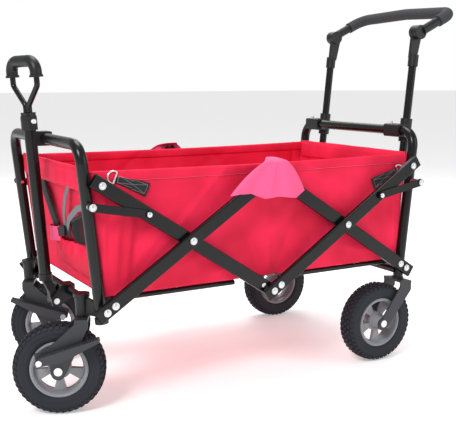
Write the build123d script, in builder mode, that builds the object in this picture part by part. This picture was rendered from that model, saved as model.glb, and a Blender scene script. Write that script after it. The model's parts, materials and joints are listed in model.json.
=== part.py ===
from build123d import *
import math
import os

# Folding camp wagon. +X runs from the pull handle to the push bar, -Y is the near long side,
# +Z is up. While it is drawn, X = 0 is the plane that the folding sides close on and Z = 0 the ground;
# at the end every piece is moved so that the origin is under the middle of the whole wagon.

# ---- end frames, millimetres and degrees ----
PIVOT_X = 408.0  # lowest bar pivot, from the folding plane
PIVOT_Z = 235.0
LEAN = 5.96  # end frames splay outwards at the top
FRAME_TOP = 578.0
FOOT_Z = 203.0
FRAME_Y = 235.0  # uprights, from the middle of the wagon
TUBE_R = 12.5
TUBE_WALL = 1.5
CORNER_R = 38.0
CROSS_X, CROSS_Z, CROSS_R = 400.0, 226.0, 10.0
FERRULE_R, FRONT_FERRULE_TOP, REAR_FERRULE_TOP = 14.5, 215.0, 208.0

# ---- scissor sides ----
BAR_ANGLE = 33.2  # bars above level when the wagon stands open
FOLDED_ANGLE = 78.0
FOOT_REACH = 239.0  # crossing to the pivot on the end frame
CROSS_REACH = 248.6  # crossing to the middle pivots, top and bottom
HEAD_REACH = 238.0  # crossing to the rivet at the upper end
BAR_DEPTH, BAR_THICK, BAR_WALL = 30.0, 13.0, 1.5
BAR_END = 22.0  # metal past the last rivet
CAP_FLANGE, CAP_PLUG = 3.0, 12.0
INNER_Y = 248.0  # inner layer of bars starts here, outwards
OUTER_Y = 262.0
PIN_R, PIN_HEAD_R, HEAD_T = 4.0, 8.0, 3.0
RUNNING = 0.06  # radial clearance of a pivot
OPEN_GAP = 1.8  # radial clearance of a pivot that the joint tree leaves open
SECOND_RIVET = 22.0  # second rivet of each bar end, from the pivot
LINK_Z = 454.0  # stay link pivot on the upright
LINK_REACH = 117.1  # stay link pivot on the bar, above the crossing
LINK_DEPTH, LINK_THICK = 18.0, 4.0
FRONT_LINK_Y, REAR_LINK_Y = 262.0, 276.0

# ---- floor rails ----
RAIL_X, RAIL_Y, RAIL_Z, RAIL_R = 386.0, 213.0, 246.0, 6.0
RAIL_LENGTH = 314.0

# ---- basket ----
FLOOR_Z, FLOOR_T, WALL_TOP = 257.0, 5.0, 523.0
CLOTH_T, SIDE_Y = 3.0, 229.0
WALL_OFFSET = 13.5  # outer face of an end wall, inboard of its upright

# ---- wheels and casters ----
WHEEL_R, WHEEL_HALF, RIM_R = 100.0, 24.0, 62.0
AXLE_R, HUB_R, HUB_HALF = 5.0, 15.0, 27.5
WINDOW_LOW, WINDOW_HIGH, WINDOW_HALF = 25.0, 50.0, 21.0  # rim windows, radii and half angle
LEG_IN, LEG_T = 28.5, 4.5
CASTER_X, CASTER_Y, TRAIL = 432.0, 190.0, 50.0
NEAR_SWIVEL, FAR_SWIVEL = 155.0, -24.0
STEM_R, SOCKET_R = 9.0, 15.0
CROWN_Z, CROWN_T, SOCKET_TOP = 205.0, 6.0, 262.0
REAR_WHEEL_X = 333.5
PEDAL_U, PEDAL_Z, PEDAL_IN, PEDAL_W = 86.0, 128.0, 36.5, 22.0
PEDAL_TIP = -38.0

# ---- pull handle ----
HANDLE_X, HANDLE_Z = 431.0, 203.0  # tilt bolt
EAR_IN, EAR_OUT = 11.4, 18.0  # the knuckle's two ears
PULL_X, PULL_Z, PULL_LEAN = 450.0, 268.0, 4.05
PULL_R, PULL_INNER_R, PULL_LENGTH = 13.5, 12.0, 338.0
GRIP_TURN = 15.0  # the grip stands turned about its tube
GRIP_R, GRIP_LOW, GRIP_HIGH, GRIP_BEND = 13.0, 446.0, 494.0, 24.0
GRIP_CUFF_R, GRIP_CUFF = 15.0, 5.0  # soft rim at each end of the grip
ROD_R, ROD_W, NECK_W = 6.2, 49.0, 7.0  # the loop's rod, its spread in the grip and in the neck
COLLAR_R, COLLAR_LOW, COLLAR_HIGH = 18.0, 330.0, 361.0
BUTTON_R, BUTTON_IN, BUTTON_T = 5.0, 15.2, 7.5

# ---- push bar ----
PUSH_Y, PUSH_R, PUSH_LOW, PUSH_HIGH = 176.0, 10.0, 430.0, 757.0
PUSH_GAP = 23.1  # axis of a push tube behind the rear frame's axis
KNUCKLE_X, KNUCKLE_Z, KNUCKLE_R = 497.0, 828.0, 18.0
ELBOW_X, ELBOW_Z = 556.0, 857.0
BAR_X, BAR_Z, BAR_R, FOAM_R = 606.0, 881.0, 9.0, 15.0
BUTTON_Y = 31.0  # push buttons sit this far along the top bar from their tube

TAN_LEAN = math.tan(math.radians(LEAN))
pieces = {}


def keep(name, part):
    part.label = name
    pieces[name] = part


def lean_x(z):
    """Distance of an upright's axis from the folding plane at height z."""
    return PIVOT_X + (z - PIVOT_Z) * TAN_LEAN


def along_bar(sign, distance, rising):
    """Point (x, z) on a bar, from the crossing. sign is -1 at the front and 1 at the rear."""
    angle = math.radians(BAR_ANGLE)
    crossing_x = CROSS_REACH * math.cos(angle)
    crossing_z = PIVOT_Z + FOOT_REACH * math.sin(angle)
    inward = distance * math.cos(angle)
    lift = distance * math.sin(angle)
    return sign * (crossing_x - inward), crossing_z + (lift if rising else -lift)


def side_disc(x, z, start, end, radius, mode=Mode.ADD):
    """Adds a disc or pin along Y on the near side, from start to end outwards."""
    with BuildSketch(Plane.XZ.offset(start)) as disc:
        with Locations((x, z)):
            Circle(radius)
    extrude(disc.sketch, amount=end - start, mode=mode)


def headed_pin(x, z, start, end, heads):
    """Adds a rivet along Y on the near side. heads names the ends that stand proud, the others are flush."""
    side_disc(x, z, start, end, PIN_R)
    if "inner" in heads:
        side_disc(x, z, start - HEAD_T + 0.5, start, PIN_HEAD_R)
    if "outer" in heads:
        side_disc(x, z, end, end + HEAD_T, PIN_HEAD_R)


def upright_cylinder(sign, radius):
    """Subtracts the near upright's round from the part in hand."""
    axis = Plane(
        origin=(sign * lean_x(FOOT_Z - 20), -FRAME_Y, FOOT_Z - 20),
        z_dir=(sign * TAN_LEAN, 0, 1),
    )
    with BuildSketch(axis) as round_end:
        Circle(radius)
    extrude(round_end.sketch, amount=150, mode=Mode.SUBTRACT)


# ---------------------------------------------------------------- end frames
def u_frame(sign):
    foot, top = sign * lean_x(FOOT_Z + 3), sign * lean_x(FRAME_TOP)
    with BuildPart() as frame:
        with BuildLine() as path:
            FilletPolyline(
                (foot, -FRAME_Y, FOOT_Z + 3),
                (top, -FRAME_Y, FRAME_TOP),
                (top, FRAME_Y, FRAME_TOP),
                (foot, FRAME_Y, FOOT_Z + 3),
                radius=CORNER_R,
            )
        with BuildSketch(Plane(origin=path.line @ 0, z_dir=path.line % 0)):
            Circle(TUBE_R)
            Circle(TUBE_R - TUBE_WALL, mode=Mode.SUBTRACT)
        sweep()
        holes = ((PIVOT_X, PIVOT_Z), (lean_x(LINK_Z), LINK_Z))
        with BuildSketch(Plane.XZ.offset(-FRAME_Y - 40)):
            with Locations(*[(sign * x, z) for x, z in holes]):
                Circle(PIN_R)
        extrude(amount=2 * FRAME_Y + 80, mode=Mode.SUBTRACT)
    return frame.part


def cross_tube(sign):
    """Bottom cross tube with the floor rails' pivot lugs welded beside the uprights."""
    with BuildPart() as cross:
        with BuildSketch(Plane.XZ):
            with Locations((sign * CROSS_X, CROSS_Z)):
                Circle(CROSS_R)
                Circle(CROSS_R - TUBE_WALL, mode=Mode.SUBTRACT)
        extrude(amount=FRAME_Y)
        with BuildSketch(Plane.XZ.offset(RAIL_Y + RAIL_R + 1.5)):
            with BuildLine():
                Polyline(
                    (sign * (CROSS_X - 3), CROSS_Z + 6),
                    (sign * (RAIL_X - 7), RAIL_Z - 4),
                    (sign * (RAIL_X - 7), RAIL_Z + 7),
                    (sign * (PIVOT_X + 2), RAIL_Z + 7),
                    (sign * (PIVOT_X + 2), CROSS_Z + 6),
                    close=True,
                )
            make_face()
        extrude(amount=8)
        side_disc(sign * RAIL_X, RAIL_Z, RAIL_Y - RAIL_R - 3, RAIL_Y + RAIL_R + 1.5, PIN_R)
        side_disc(sign * RAIL_X, RAIL_Z, RAIL_Y - RAIL_R - 5, RAIL_Y - RAIL_R - 3, PIN_R + 2.5)
        upright_cylinder(sign, TUBE_R)
        mirror(about=Plane.XZ)
    return cross.part


def ferrule(sign, top):
    """Adds the plastic foot on the near upright's lower end to the part in hand."""
    axis = Plane(
        origin=(sign * lean_x(FOOT_Z), -FRAME_Y, FOOT_Z), z_dir=(sign * TAN_LEAN, 0, 1)
    )
    with BuildSketch(axis) as foot:
        Circle(FERRULE_R)
    extrude(foot.sketch, amount=top - FOOT_Z)
    with BuildSketch(axis.offset(3.0 / math.cos(math.radians(LEAN)))) as bore:
        Circle(TUBE_R)
    extrude(bore.sketch, amount=40, mode=Mode.SUBTRACT)


keep("front_u_frame", u_frame(-1))
keep("rear_u_frame", u_frame(1))
keep("front_cross_tube", cross_tube(-1))
keep("rear_cross_tube", cross_tube(1))

with BuildPart() as front_caster_housings:
    with BuildSketch(Plane.XY.offset(CROWN_Z + CROWN_T + 3)):
        with Locations((-CASTER_X, -CASTER_Y)):
            Circle(SOCKET_R - 2)
    extrude(amount=SOCKET_TOP - CROWN_Z - CROWN_T - 11, taper=-3)
    with BuildSketch(Plane.XY.offset(SOCKET_TOP - 8)):
        with Locations((-CASTER_X, -CASTER_Y)):
            Circle(SOCKET_R + 2.5)
    extrude(amount=8)
    reach = Vector(-lean_x(CROSS_Z) + CASTER_X, -FRAME_Y + CASTER_Y, 0)
    web = Plane(
        origin=(-CASTER_X, -CASTER_Y, CROWN_Z + CROWN_T + 5),
        x_dir=reach.normalized(),
        z_dir=reach.normalized().cross(Vector(0, 0, 1)),
    )
    with BuildSketch(web.offset(-3)):
        with BuildLine():
            Polyline(
                (8, 0), (reach.length, 0), (reach.length, 20), (24, 36), (8, 36), close=True
            )
        make_face()
    extrude(amount=6)
    upright_cylinder(-1, TUBE_R)
    with BuildSketch(Plane.XY.offset(CROWN_Z)):
        with Locations((-CASTER_X, -CASTER_Y)):
            Circle(STEM_R + RUNNING)
    extrude(amount=SOCKET_TOP - CROWN_Z - 6, mode=Mode.SUBTRACT)
    mirror(about=Plane.XZ)
keep("front_caster_housings", front_caster_housings.part)

with BuildPart() as front_ferrules:
    ferrule(-1, FRONT_FERRULE_TOP)
    mirror(about=Plane.XZ)
keep("front_ferrules", front_ferrules.part)


def frame_pins(sign, bar_start, link_start):
    """Pins that the bars' lowest pivots and the stay links turn on, with their spacers."""
    with BuildPart() as pins:
        start, root = TUBE_R - 0.9, FRAME_Y
        side_disc(sign * PIVOT_X, PIVOT_Z, root - start, bar_start + BAR_THICK + 0.4, PIN_R)
        side_disc(
            sign * PIVOT_X,
            PIVOT_Z,
            bar_start + BAR_THICK + 0.4,
            bar_start + BAR_THICK + HEAD_T + 0.4,
            PIN_HEAD_R,
        )
        if bar_start > INNER_Y + 1:
            side_disc(sign * PIVOT_X, PIVOT_Z, root + TUBE_R + 0.3, bar_start - 0.4, PIN_HEAD_R)
        x = sign * lean_x(LINK_Z)
        side_disc(x, LINK_Z, root - start, link_start + LINK_THICK + 0.4, PIN_R)
        side_disc(
            x, LINK_Z, link_start + LINK_THICK + 0.4, link_start + LINK_THICK + 3.4, PIN_HEAD_R
        )
        side_disc(x, LINK_Z, root + TUBE_R + 0.3, link_start - 0.4, PIN_HEAD_R - 1)
        if sign < 0:
            side_disc(-HANDLE_X, HANDLE_Z, 0, EAR_OUT, PIN_R)
            side_disc(-HANDLE_X, HANDLE_Z, EAR_OUT, EAR_OUT + HEAD_T, PIN_HEAD_R - 1)
        mirror(about=Plane.XZ)
    return pins.part


keep("front_pivot_pins", frame_pins(-1, OUTER_Y, FRONT_LINK_Y))
keep("rear_pivot_pins", frame_pins(1, INNER_Y, REAR_LINK_Y))


# ---------------------------------------------------------------- scissor bars
def scissor_bar(sign, rising, low_reach, high_reach, start, pin_holes, rivet_holes, open_holes):
    """A pair of flat-tube bars with plastic caps, one on each side of the wagon.

    low_reach and high_reach run from the crossing to the two ends. The hole lists are distances from the
    crossing along the bar: pin_holes turn on their pins, rivet_holes are tight, open_holes are wide.
    """
    angle = math.radians(BAR_ANGLE)
    slope = math.sin(angle) if rising else -math.sin(angle)
    direction = Vector(-sign * math.cos(angle), 0, slope)
    low_x, low_z = along_bar(sign, -low_reach, rising)
    middle_y = -(start + BAR_THICK / 2)
    with BuildPart() as bar:
        section = Plane(origin=(low_x, middle_y, low_z), x_dir=(0, -1, 0), z_dir=direction)
        length = low_reach + high_reach
        with BuildSketch(section.offset(CAP_FLANGE)):
            RectangleRounded(BAR_THICK, BAR_DEPTH, 3)
            RectangleRounded(
                BAR_THICK - 2 * BAR_WALL, BAR_DEPTH - 2 * BAR_WALL, 1.5, mode=Mode.SUBTRACT
            )
        extrude(amount=length - 2 * CAP_FLANGE)
        for holes, radius in (
            (pin_holes, PIN_R + RUNNING),
            (rivet_holes, PIN_R),
            (open_holes, PIN_R + OPEN_GAP),
        ):
            for distance in holes:
                x, z = along_bar(sign, distance, rising)
                side_disc(x, z, start - 1, start + BAR_THICK + 1, radius, Mode.SUBTRACT)
        mirror(about=Plane.XZ)
    plug = (BAR_THICK - 2 * BAR_WALL, BAR_DEPTH - 2 * BAR_WALL)
    with BuildPart() as caps:
        for flange, plug_start in ((0, CAP_FLANGE), (length - CAP_FLANGE, length - CAP_FLANGE - CAP_PLUG)):
            with BuildSketch(section.offset(flange)):
                RectangleRounded(BAR_THICK, BAR_DEPTH, 3)
            extrude(amount=CAP_FLANGE)
            with BuildSketch(section.offset(plug_start)):
                RectangleRounded(*plug, 1.5)
            extrude(amount=CAP_PLUG)
        for distance in (*pin_holes, *rivet_holes, *open_holes):
            x, z = along_bar(sign, distance, rising)
            side_disc(x, z, start - 1, start + BAR_THICK + 1, PIN_R + OPEN_GAP, Mode.SUBTRACT)
        mirror(about=Plane.XZ)
    return Compound(children=[*bar.part.solids(), *caps.part.solids()])


HEAD_END, FOOT_END, CROSS_END = (reach + BAR_END for reach in (HEAD_REACH, FOOT_REACH, CROSS_REACH))
SECOND_FOOT, SECOND_CROSS = SECOND_RIVET - FOOT_REACH, CROSS_REACH - SECOND_RIVET
keep(
    "front_lower_bars",
    scissor_bar(
        -1, True, FOOT_END, CROSS_END, OUTER_Y, [-FOOT_REACH], [0, CROSS_REACH, SECOND_FOOT], []
    ),
)
keep(
    "front_cross_bars",
    scissor_bar(
        -1,
        False,
        HEAD_END,
        CROSS_END,
        INNER_Y,
        [0],
        [-HEAD_REACH, -LINK_REACH, SECOND_CROSS],
        [CROSS_REACH],
    ),
)
keep(
    "rear_lower_bars",
    scissor_bar(
        1, True, FOOT_END, CROSS_END, INNER_Y, [-FOOT_REACH, CROSS_REACH], [0, SECOND_FOOT], []
    ),
)
keep(
    "rear_cross_bars",
    scissor_bar(
        1,
        False,
        HEAD_END,
        CROSS_END,
        OUTER_Y,
        [0],
        [-HEAD_REACH, -LINK_REACH, SECOND_CROSS, CROSS_REACH],
        [],
    ),
)


def bar_rivets(sign, rising, rivets):
    """Rivets at distances along a bar: (distance, start, end, heads) outwards on each side.

    A rivet is flush where another bar, the frame or a stay link's stud passes over it.
    """
    with BuildPart() as pins:
        for distance, start, end, heads in rivets:
            x, z = along_bar(sign, distance, rising)
            headed_pin(x, z, start, end, heads)
        mirror(about=Plane.XZ)
    return pins.part


GAP = 0.4  # play under a pivot's heads
BOTH = ["inner", "outer"]  # a rivet with a head at each end
INNER_END, OUTER_END = INNER_Y + BAR_THICK, OUTER_Y + BAR_THICK
keep(
    "front_lower_rivets",
    bar_rivets(
        -1,
        True,
        [
            (0, INNER_Y - GAP, OUTER_END, BOTH),
            (CROSS_REACH, INNER_Y - GAP, OUTER_END, BOTH),
            (SECOND_FOOT, OUTER_Y, OUTER_END, BOTH),
        ],
    ),
)
keep(
    "front_cross_rivets",
    bar_rivets(
        -1,
        False,
        [
            (-HEAD_REACH, INNER_Y, INNER_END, BOTH),
            (SECOND_CROSS, INNER_Y, INNER_END, ["inner"]),
            (-LINK_REACH, INNER_Y, INNER_END, ["inner"]),
        ],
    ),
)
keep(
    "rear_lower_rivets",
    bar_rivets(
        1,
        True,
        [(0, INNER_Y, OUTER_END + GAP, BOTH), (SECOND_FOOT, INNER_Y, INNER_END, ["outer"])],
    ),
)
keep(
    "rear_cross_rivets",
    bar_rivets(
        1,
        False,
        [
            (-HEAD_REACH, OUTER_Y, OUTER_END, BOTH),
            (SECOND_CROSS, OUTER_Y, OUTER_END, ["outer"]),
            (-LINK_REACH, OUTER_Y, OUTER_END, ["inner"]),
            (CROSS_REACH, INNER_Y - GAP, OUTER_END, BOTH),
        ],
    ),
)


def stay_links(sign, start):
    """Flat links from the uprights to the upper bars, one each side, with the stud at the bar's end."""
    frame_x, bar = sign * lean_x(LINK_Z), along_bar(sign, -LINK_REACH, False)
    run = Vector(bar[0] - frame_x, 0, bar[1] - LINK_Z)
    flat = Plane(origin=(frame_x, -start, LINK_Z), x_dir=run.normalized(), z_dir=(0, -1, 0))
    with BuildPart() as links:
        with BuildSketch(flat):
            with Locations((run.length / 2, 0)):
                SlotCenterToCenter(run.length, LINK_DEPTH)
            Circle(PIN_R + RUNNING, mode=Mode.SUBTRACT)
        extrude(amount=LINK_THICK)
        side_disc(*bar, start - 0.6, start, PIN_R)
        side_disc(*bar, start + LINK_THICK, start + LINK_THICK + HEAD_T, PIN_HEAD_R)
        mirror(about=Plane.XZ)
    return links.part


keep("front_stay_links", stay_links(-1, FRONT_LINK_Y))
keep("rear_stay_links", stay_links(1, REAR_LINK_Y))


def floor_rails(sign):
    """Round rails under the floor, hinged beside the uprights."""
    with BuildPart() as rails:
        with BuildSketch(Plane(origin=(sign * RAIL_X, -RAIL_Y, RAIL_Z), z_dir=(-sign, 0, 0))):
            Circle(RAIL_R)
        extrude(amount=RAIL_LENGTH)
        side_disc(sign * RAIL_X, RAIL_Z, RAIL_Y - RAIL_R, RAIL_Y + RAIL_R, RAIL_R + 1)
        side_disc(
            sign * RAIL_X, RAIL_Z, RAIL_Y - RAIL_R, RAIL_Y + RAIL_R, PIN_R + RUNNING, Mode.SUBTRACT
        )
        mirror(about=Plane.XZ)
    return rails.part


keep("front_floor_rails", floor_rails(-1))
keep("rear_floor_rails", floor_rails(1))


# ---------------------------------------------------------------- basket
def end_wall(sign):
    """Cloth wall between a frame's uprights."""
    outer_low = sign * (lean_x(FLOOR_Z) - WALL_OFFSET)
    outer_high = sign * (lean_x(WALL_TOP) - WALL_OFFSET)
    with BuildPart() as wall:
        with BuildSketch(Plane.XZ.offset(-SIDE_Y + 0.5)):
            with BuildLine():
                Polyline(
                    (outer_low, FLOOR_Z),
                    (outer_low - sign * CLOTH_T, FLOOR_Z),
                    (outer_high - sign * CLOTH_T, WALL_TOP),
                    (outer_high, WALL_TOP),
                    close=True,
                )
            make_face()
        extrude(amount=2 * SIDE_Y - 1)
    return wall.part


keep("basket_front_wall", end_wall(-1))
keep("basket_rear_wall", end_wall(1))

with BuildPart() as basket_sides:
    low, high = lean_x(FLOOR_Z) - WALL_OFFSET, lean_x(WALL_TOP) - WALL_OFFSET
    with BuildSketch(Plane.XZ.offset(SIDE_Y)):
        with BuildLine():
            Polyline((-low, FLOOR_Z), (low, FLOOR_Z), (high, WALL_TOP), (-high, WALL_TOP), close=True)
        make_face()
    extrude(amount=CLOTH_T)
    mirror(about=Plane.XZ)
keep("basket_sides", basket_sides.part)

with BuildPart() as basket_floor:
    with BuildSketch(Plane.XY.offset(FLOOR_Z)):
        Rectangle(2 * (low - CLOTH_T - 1), 2 * SIDE_Y - 1)
    extrude(amount=FLOOR_T)
keep("basket_floor", basket_floor.part)

APEX_Z = along_bar(-1, CROSS_REACH, True)[1]
with BuildPart() as apex_covers:
    with BuildSketch(Plane.XZ.offset(OUTER_END + HEAD_T + 1.5)):
        with BuildLine():
            Polyline(
                (-92, APEX_Z - 42), (0, APEX_Z + 21), (92, APEX_Z - 42), (0, APEX_Z - 56), close=True
            )
        make_face()
    extrude(amount=CLOTH_T)
    mirror(about=Plane.XZ)
keep("apex_covers", apex_covers.part)


def strap_patches(sign, center_x, center_z, tilt):
    """Webbing patches on the basket's sides that hold the D-rings."""
    with BuildPart() as patches:
        with BuildSketch(Plane.XZ.offset(SIDE_Y + CLOTH_T)):
            with Locations(Location((sign * center_x, center_z, 0), (0, 0, sign * tilt))):
                RectangleRounded(78, 28, 2)
        extrude(amount=2)
        mirror(about=Plane.XZ)
    return patches.part


keep("front_strap_patches", strap_patches(-1, 330, 492, 22))
keep("rear_strap_patches", strap_patches(1, 352, 466, 22))


# ---------------------------------------------------------------- wheels
def wheel_planes(x, y, turn):
    """Section plane of a wheel and its axle line; turn is the rolling direction about Z."""
    angle = math.radians(turn)
    axle = Vector(-math.sin(angle), math.cos(angle), 0)
    centre = Vector(x, y, WHEEL_R)
    section = Plane(origin=centre, x_dir=axle, z_dir=axle.cross(Vector(0, 0, 1)))
    return section, Axis(centre, axle), Plane(origin=centre, x_dir=(0, 0, 1), z_dir=axle)


def tyre(x, y, turn):
    section, axle, _ = wheel_planes(x, y, turn)
    with BuildPart() as ring:
        with BuildSketch(section):
            with BuildLine():
                Polyline(
                    (-15, WHEEL_R - 2.4), (-WHEEL_HALF, 89), (-WHEEL_HALF, 78), (-19, RIM_R), (19, RIM_R)
                )
                Polyline((19, RIM_R), (WHEEL_HALF, 78), (WHEEL_HALF, 89), (15, WHEEL_R - 2.4))
                ThreePointArc((15, WHEEL_R - 2.4), (0, WHEEL_R), (-15, WHEEL_R - 2.4))
            make_face()
        revolve(axis=axle)
    return ring.part


def rim(x, y, turn):
    section, axle, face = wheel_planes(x, y, turn)
    with BuildPart() as body:
        with BuildSketch(section):
            with BuildLine():
                Polyline(
                    (-HUB_HALF, AXLE_R + RUNNING),
                    (-HUB_HALF, HUB_R),
                    (-6, HUB_R + 5),
                    (-4, 52),
                    (-19, 55),
                    (-19, RIM_R),
                    (19, RIM_R),
                    (19, 55),
                    (4, 52),
                    (6, HUB_R + 5),
                    (HUB_HALF, HUB_R),
                    (HUB_HALF, AXLE_R + RUNNING),
                    close=True,
                )
            make_face()
        revolve(axis=axle)
        inner, outer, half = WINDOW_LOW, WINDOW_HIGH, WINDOW_HALF
        with BuildSketch(face.offset(-10)):
            for window in range(5):
                mid = 72 * window
                with BuildLine():
                    Line(Vector(inner, 0).rotate(Axis.Z, mid - half), Vector(outer, 0).rotate(Axis.Z, mid - half))
                    CenterArc((0, 0), outer, mid - half, 2 * half)
                    Line(Vector(outer, 0).rotate(Axis.Z, mid + half), Vector(inner, 0).rotate(Axis.Z, mid + half))
                    CenterArc((0, 0), inner, mid - half, 2 * half)
                make_face()
        extrude(amount=20, mode=Mode.SUBTRACT)
    return body.part


def caster_frame(side, turn):
    """Pivot point, trailing direction and axle direction of a front caster."""
    angle = math.radians(turn)
    return (
        Vector(-CASTER_X, side * CASTER_Y, 0),
        Vector(math.cos(angle), math.sin(angle), 0),
        Vector(-math.sin(angle), math.cos(angle), 0),
    )


def upright_plane(pivot, trail, axle, offset):
    """Plane of a caster's side at an offset along the axle; local x trails, local y is up."""
    return Plane(origin=pivot + axle * offset, x_dir=trail, z_dir=trail.cross(Vector(0, 0, 1)))


def caster_fork(side, turn, outer):
    pivot, trail, axle = caster_frame(side, turn)
    with BuildPart() as fork:
        with BuildSketch(Plane(origin=pivot + Vector(0, 0, CROWN_Z), x_dir=trail, z_dir=(0, 0, 1))):
            Rectangle(28, 2 * (LEG_IN + LEG_T))
        extrude(amount=CROWN_T)
        with BuildSketch(Plane(origin=pivot + Vector(0, 0, CROWN_Z), z_dir=(0, 0, 1))):
            Circle(STEM_R)
        extrude(amount=SOCKET_TOP - CROWN_Z - 9)
        for inner in (-LEG_IN, LEG_IN + LEG_T):
            has_pedal = inner * outer > 0
            with BuildSketch(upright_plane(pivot, trail, axle, inner)):
                with BuildLine():
                    Polyline(
                        (-14, CROWN_Z + CROWN_T),
                        (-14, CROWN_Z - 12),
                        (TRAIL - 15, WHEEL_R - 8),
                        (TRAIL + 15, WHEEL_R - 8),
                        (TRAIL + 22, WHEEL_R + 50),
                        (14, CROWN_Z - 4),
                        (14, CROWN_Z + CROWN_T),
                        close=True,
                    )
                make_face()
                with Locations((TRAIL, WHEEL_R - 4)):
                    Circle(15)
                if has_pedal:
                    with Locations((PEDAL_U - 6, PEDAL_Z + 4)):
                        Rectangle(34, 24, rotation=-12)
                    with Locations((PEDAL_U, PEDAL_Z)):
                        Circle(PIN_R, mode=Mode.SUBTRACT)
                with Locations((TRAIL, WHEEL_R)):
                    Circle(AXLE_R, mode=Mode.SUBTRACT)
            extrude(amount=LEG_T)
    return fork.part


def fork_pin(pivot, trail, axle, along, height, start, end, radius, head_r):
    """Adds a headed pin through a fork, from start to end along the axle direction."""
    line = upright_plane(pivot, trail, axle, end)
    with BuildSketch(line) as shank:
        with Locations((along, height)):
            Circle(radius)
    extrude(shank.sketch, amount=end - start)
    for head in (end + 2.5, start):
        with BuildSketch(upright_plane(pivot, trail, axle, head)) as cap:
            with Locations((along, height)):
                Circle(head_r)
        extrude(cap.sketch, amount=2.5)


def caster_bolts(side, turn, outer):
    pivot, trail, axle = caster_frame(side, turn)
    reach = LEG_IN + LEG_T
    with BuildPart() as bolts:
        fork_pin(pivot, trail, axle, TRAIL, WHEEL_R, -reach, reach, AXLE_R, 9)
        low, high = sorted((outer * LEG_IN, outer * (PEDAL_IN + PEDAL_W + 0.4)))
        fork_pin(pivot, trail, axle, PEDAL_U, PEDAL_Z, low, high, PIN_R, 6.5)
    return bolts.part


def pedal(side, turn, outer):
    """Brake pedal beside the wheel: a tapered lever with a foot plate at its raised end."""
    pivot, trail, axle = caster_frame(side, turn)
    near, far = PEDAL_IN, PEDAL_IN + PEDAL_W
    with BuildPart() as lever:
        start = far if outer > 0 else -near
        with BuildSketch(upright_plane(pivot, trail, axle, start)):
            with BuildLine():
                Polyline((PEDAL_TIP, 176), (PEDAL_U + 2, PEDAL_Z + 9), (PEDAL_U + 10, PEDAL_Z))
                Polyline((PEDAL_U + 10, PEDAL_Z), (PEDAL_U + 2, PEDAL_Z - 9), (46, 127))
                Polyline((46, 127), (16, 139), (-12, 155), (PEDAL_TIP - 2, 169), (PEDAL_TIP, 176))
            make_face()
        extrude(amount=PEDAL_W)
        hollow = far - 3 if outer > 0 else -near + 1
        with BuildSketch(upright_plane(pivot, trail, axle, hollow)):
            with BuildLine():
                Polyline(
                    (PEDAL_TIP + 8, 169), (60, 137), (60, 126), (46, 130), (18, 142), (PEDAL_TIP + 8, 167), close=True
                )
            make_face()
        extrude(amount=PEDAL_W - 2, mode=Mode.SUBTRACT)
        with BuildSketch(upright_plane(pivot, trail, axle, start)):
            with Locations((PEDAL_U, PEDAL_Z)):
                Circle(PIN_R + RUNNING)
        extrude(amount=PEDAL_W, mode=Mode.SUBTRACT)
    return lever.part


for name, side, turn, outer in (("near", -1, NEAR_SWIVEL, 1), ("far", 1, FAR_SWIVEL, -1)):
    middle = Vector(-CASTER_X, side * CASTER_Y, 0) + TRAIL * caster_frame(side, turn)[1]
    keep(f"caster_fork_{name}", caster_fork(side, turn, outer))
    keep(f"caster_bolts_{name}", caster_bolts(side, turn, outer))
    keep(f"brake_pedal_{name}", pedal(side, turn, outer))
    keep(f"front_tyre_{name}", tyre(middle.X, middle.Y, turn))
    keep(f"front_rim_{name}", rim(middle.X, middle.Y, turn))
    keep(f"rear_tyre_{name}", tyre(REAR_WHEEL_X, side * FRAME_Y, 0))
    keep(f"rear_rim_{name}", rim(REAR_WHEEL_X, side * FRAME_Y, 0))

with BuildPart() as rear_forks:
    foot_x = lean_x(FOOT_Z)
    under_foot = Plane(origin=(foot_x, -FRAME_Y, FOOT_Z), x_dir=(1, 0, -TAN_LEAN), z_dir=(TAN_LEAN, 0, 1))
    with BuildSketch(under_foot.offset(-CROWN_T)):
        Rectangle(36, 2 * (LEG_IN + LEG_T))
    extrude(amount=CROWN_T)
    for inner in (FRAME_Y - LEG_IN - LEG_T, FRAME_Y + LEG_IN):
        with BuildSketch(Plane.XZ.offset(inner)):
            with BuildLine():
                Polyline(
                    (foot_x - 17, FOOT_Z),
                    (foot_x - 17, FOOT_Z - 14),
                    (REAR_WHEEL_X - 15, WHEEL_R - 4),
                    (REAR_WHEEL_X + 15, WHEEL_R - 10),
                    (foot_x + 17, FOOT_Z - 26),
                    (foot_x + 17, FOOT_Z - 4),
                    close=True,
                )
            make_face()
            with Locations((REAR_WHEEL_X, WHEEL_R - 3)):
                Circle(15)
            with Locations((REAR_WHEEL_X, WHEEL_R)):
                Circle(AXLE_R, mode=Mode.SUBTRACT)
        extrude(amount=LEG_T)
    mirror(about=Plane.XZ)
keep("rear_forks", rear_forks.part)

with BuildPart() as rear_ferrules:
    ferrule(1, REAR_FERRULE_TOP)
    mirror(about=Plane.XZ)
keep("rear_ferrules", rear_ferrules.part)

with BuildPart() as rear_axles:
    inside, outside = FRAME_Y - LEG_IN - LEG_T, FRAME_Y + LEG_IN + LEG_T
    side_disc(REAR_WHEEL_X, WHEEL_R, inside, outside, AXLE_R)
    side_disc(REAR_WHEEL_X, WHEEL_R, inside - 2.5, inside, 9)
    side_disc(REAR_WHEEL_X, WHEEL_R, outside, outside + 2.5, 9)
    mirror(about=Plane.XZ)
keep("rear_axles", rear_axles.part)


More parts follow.
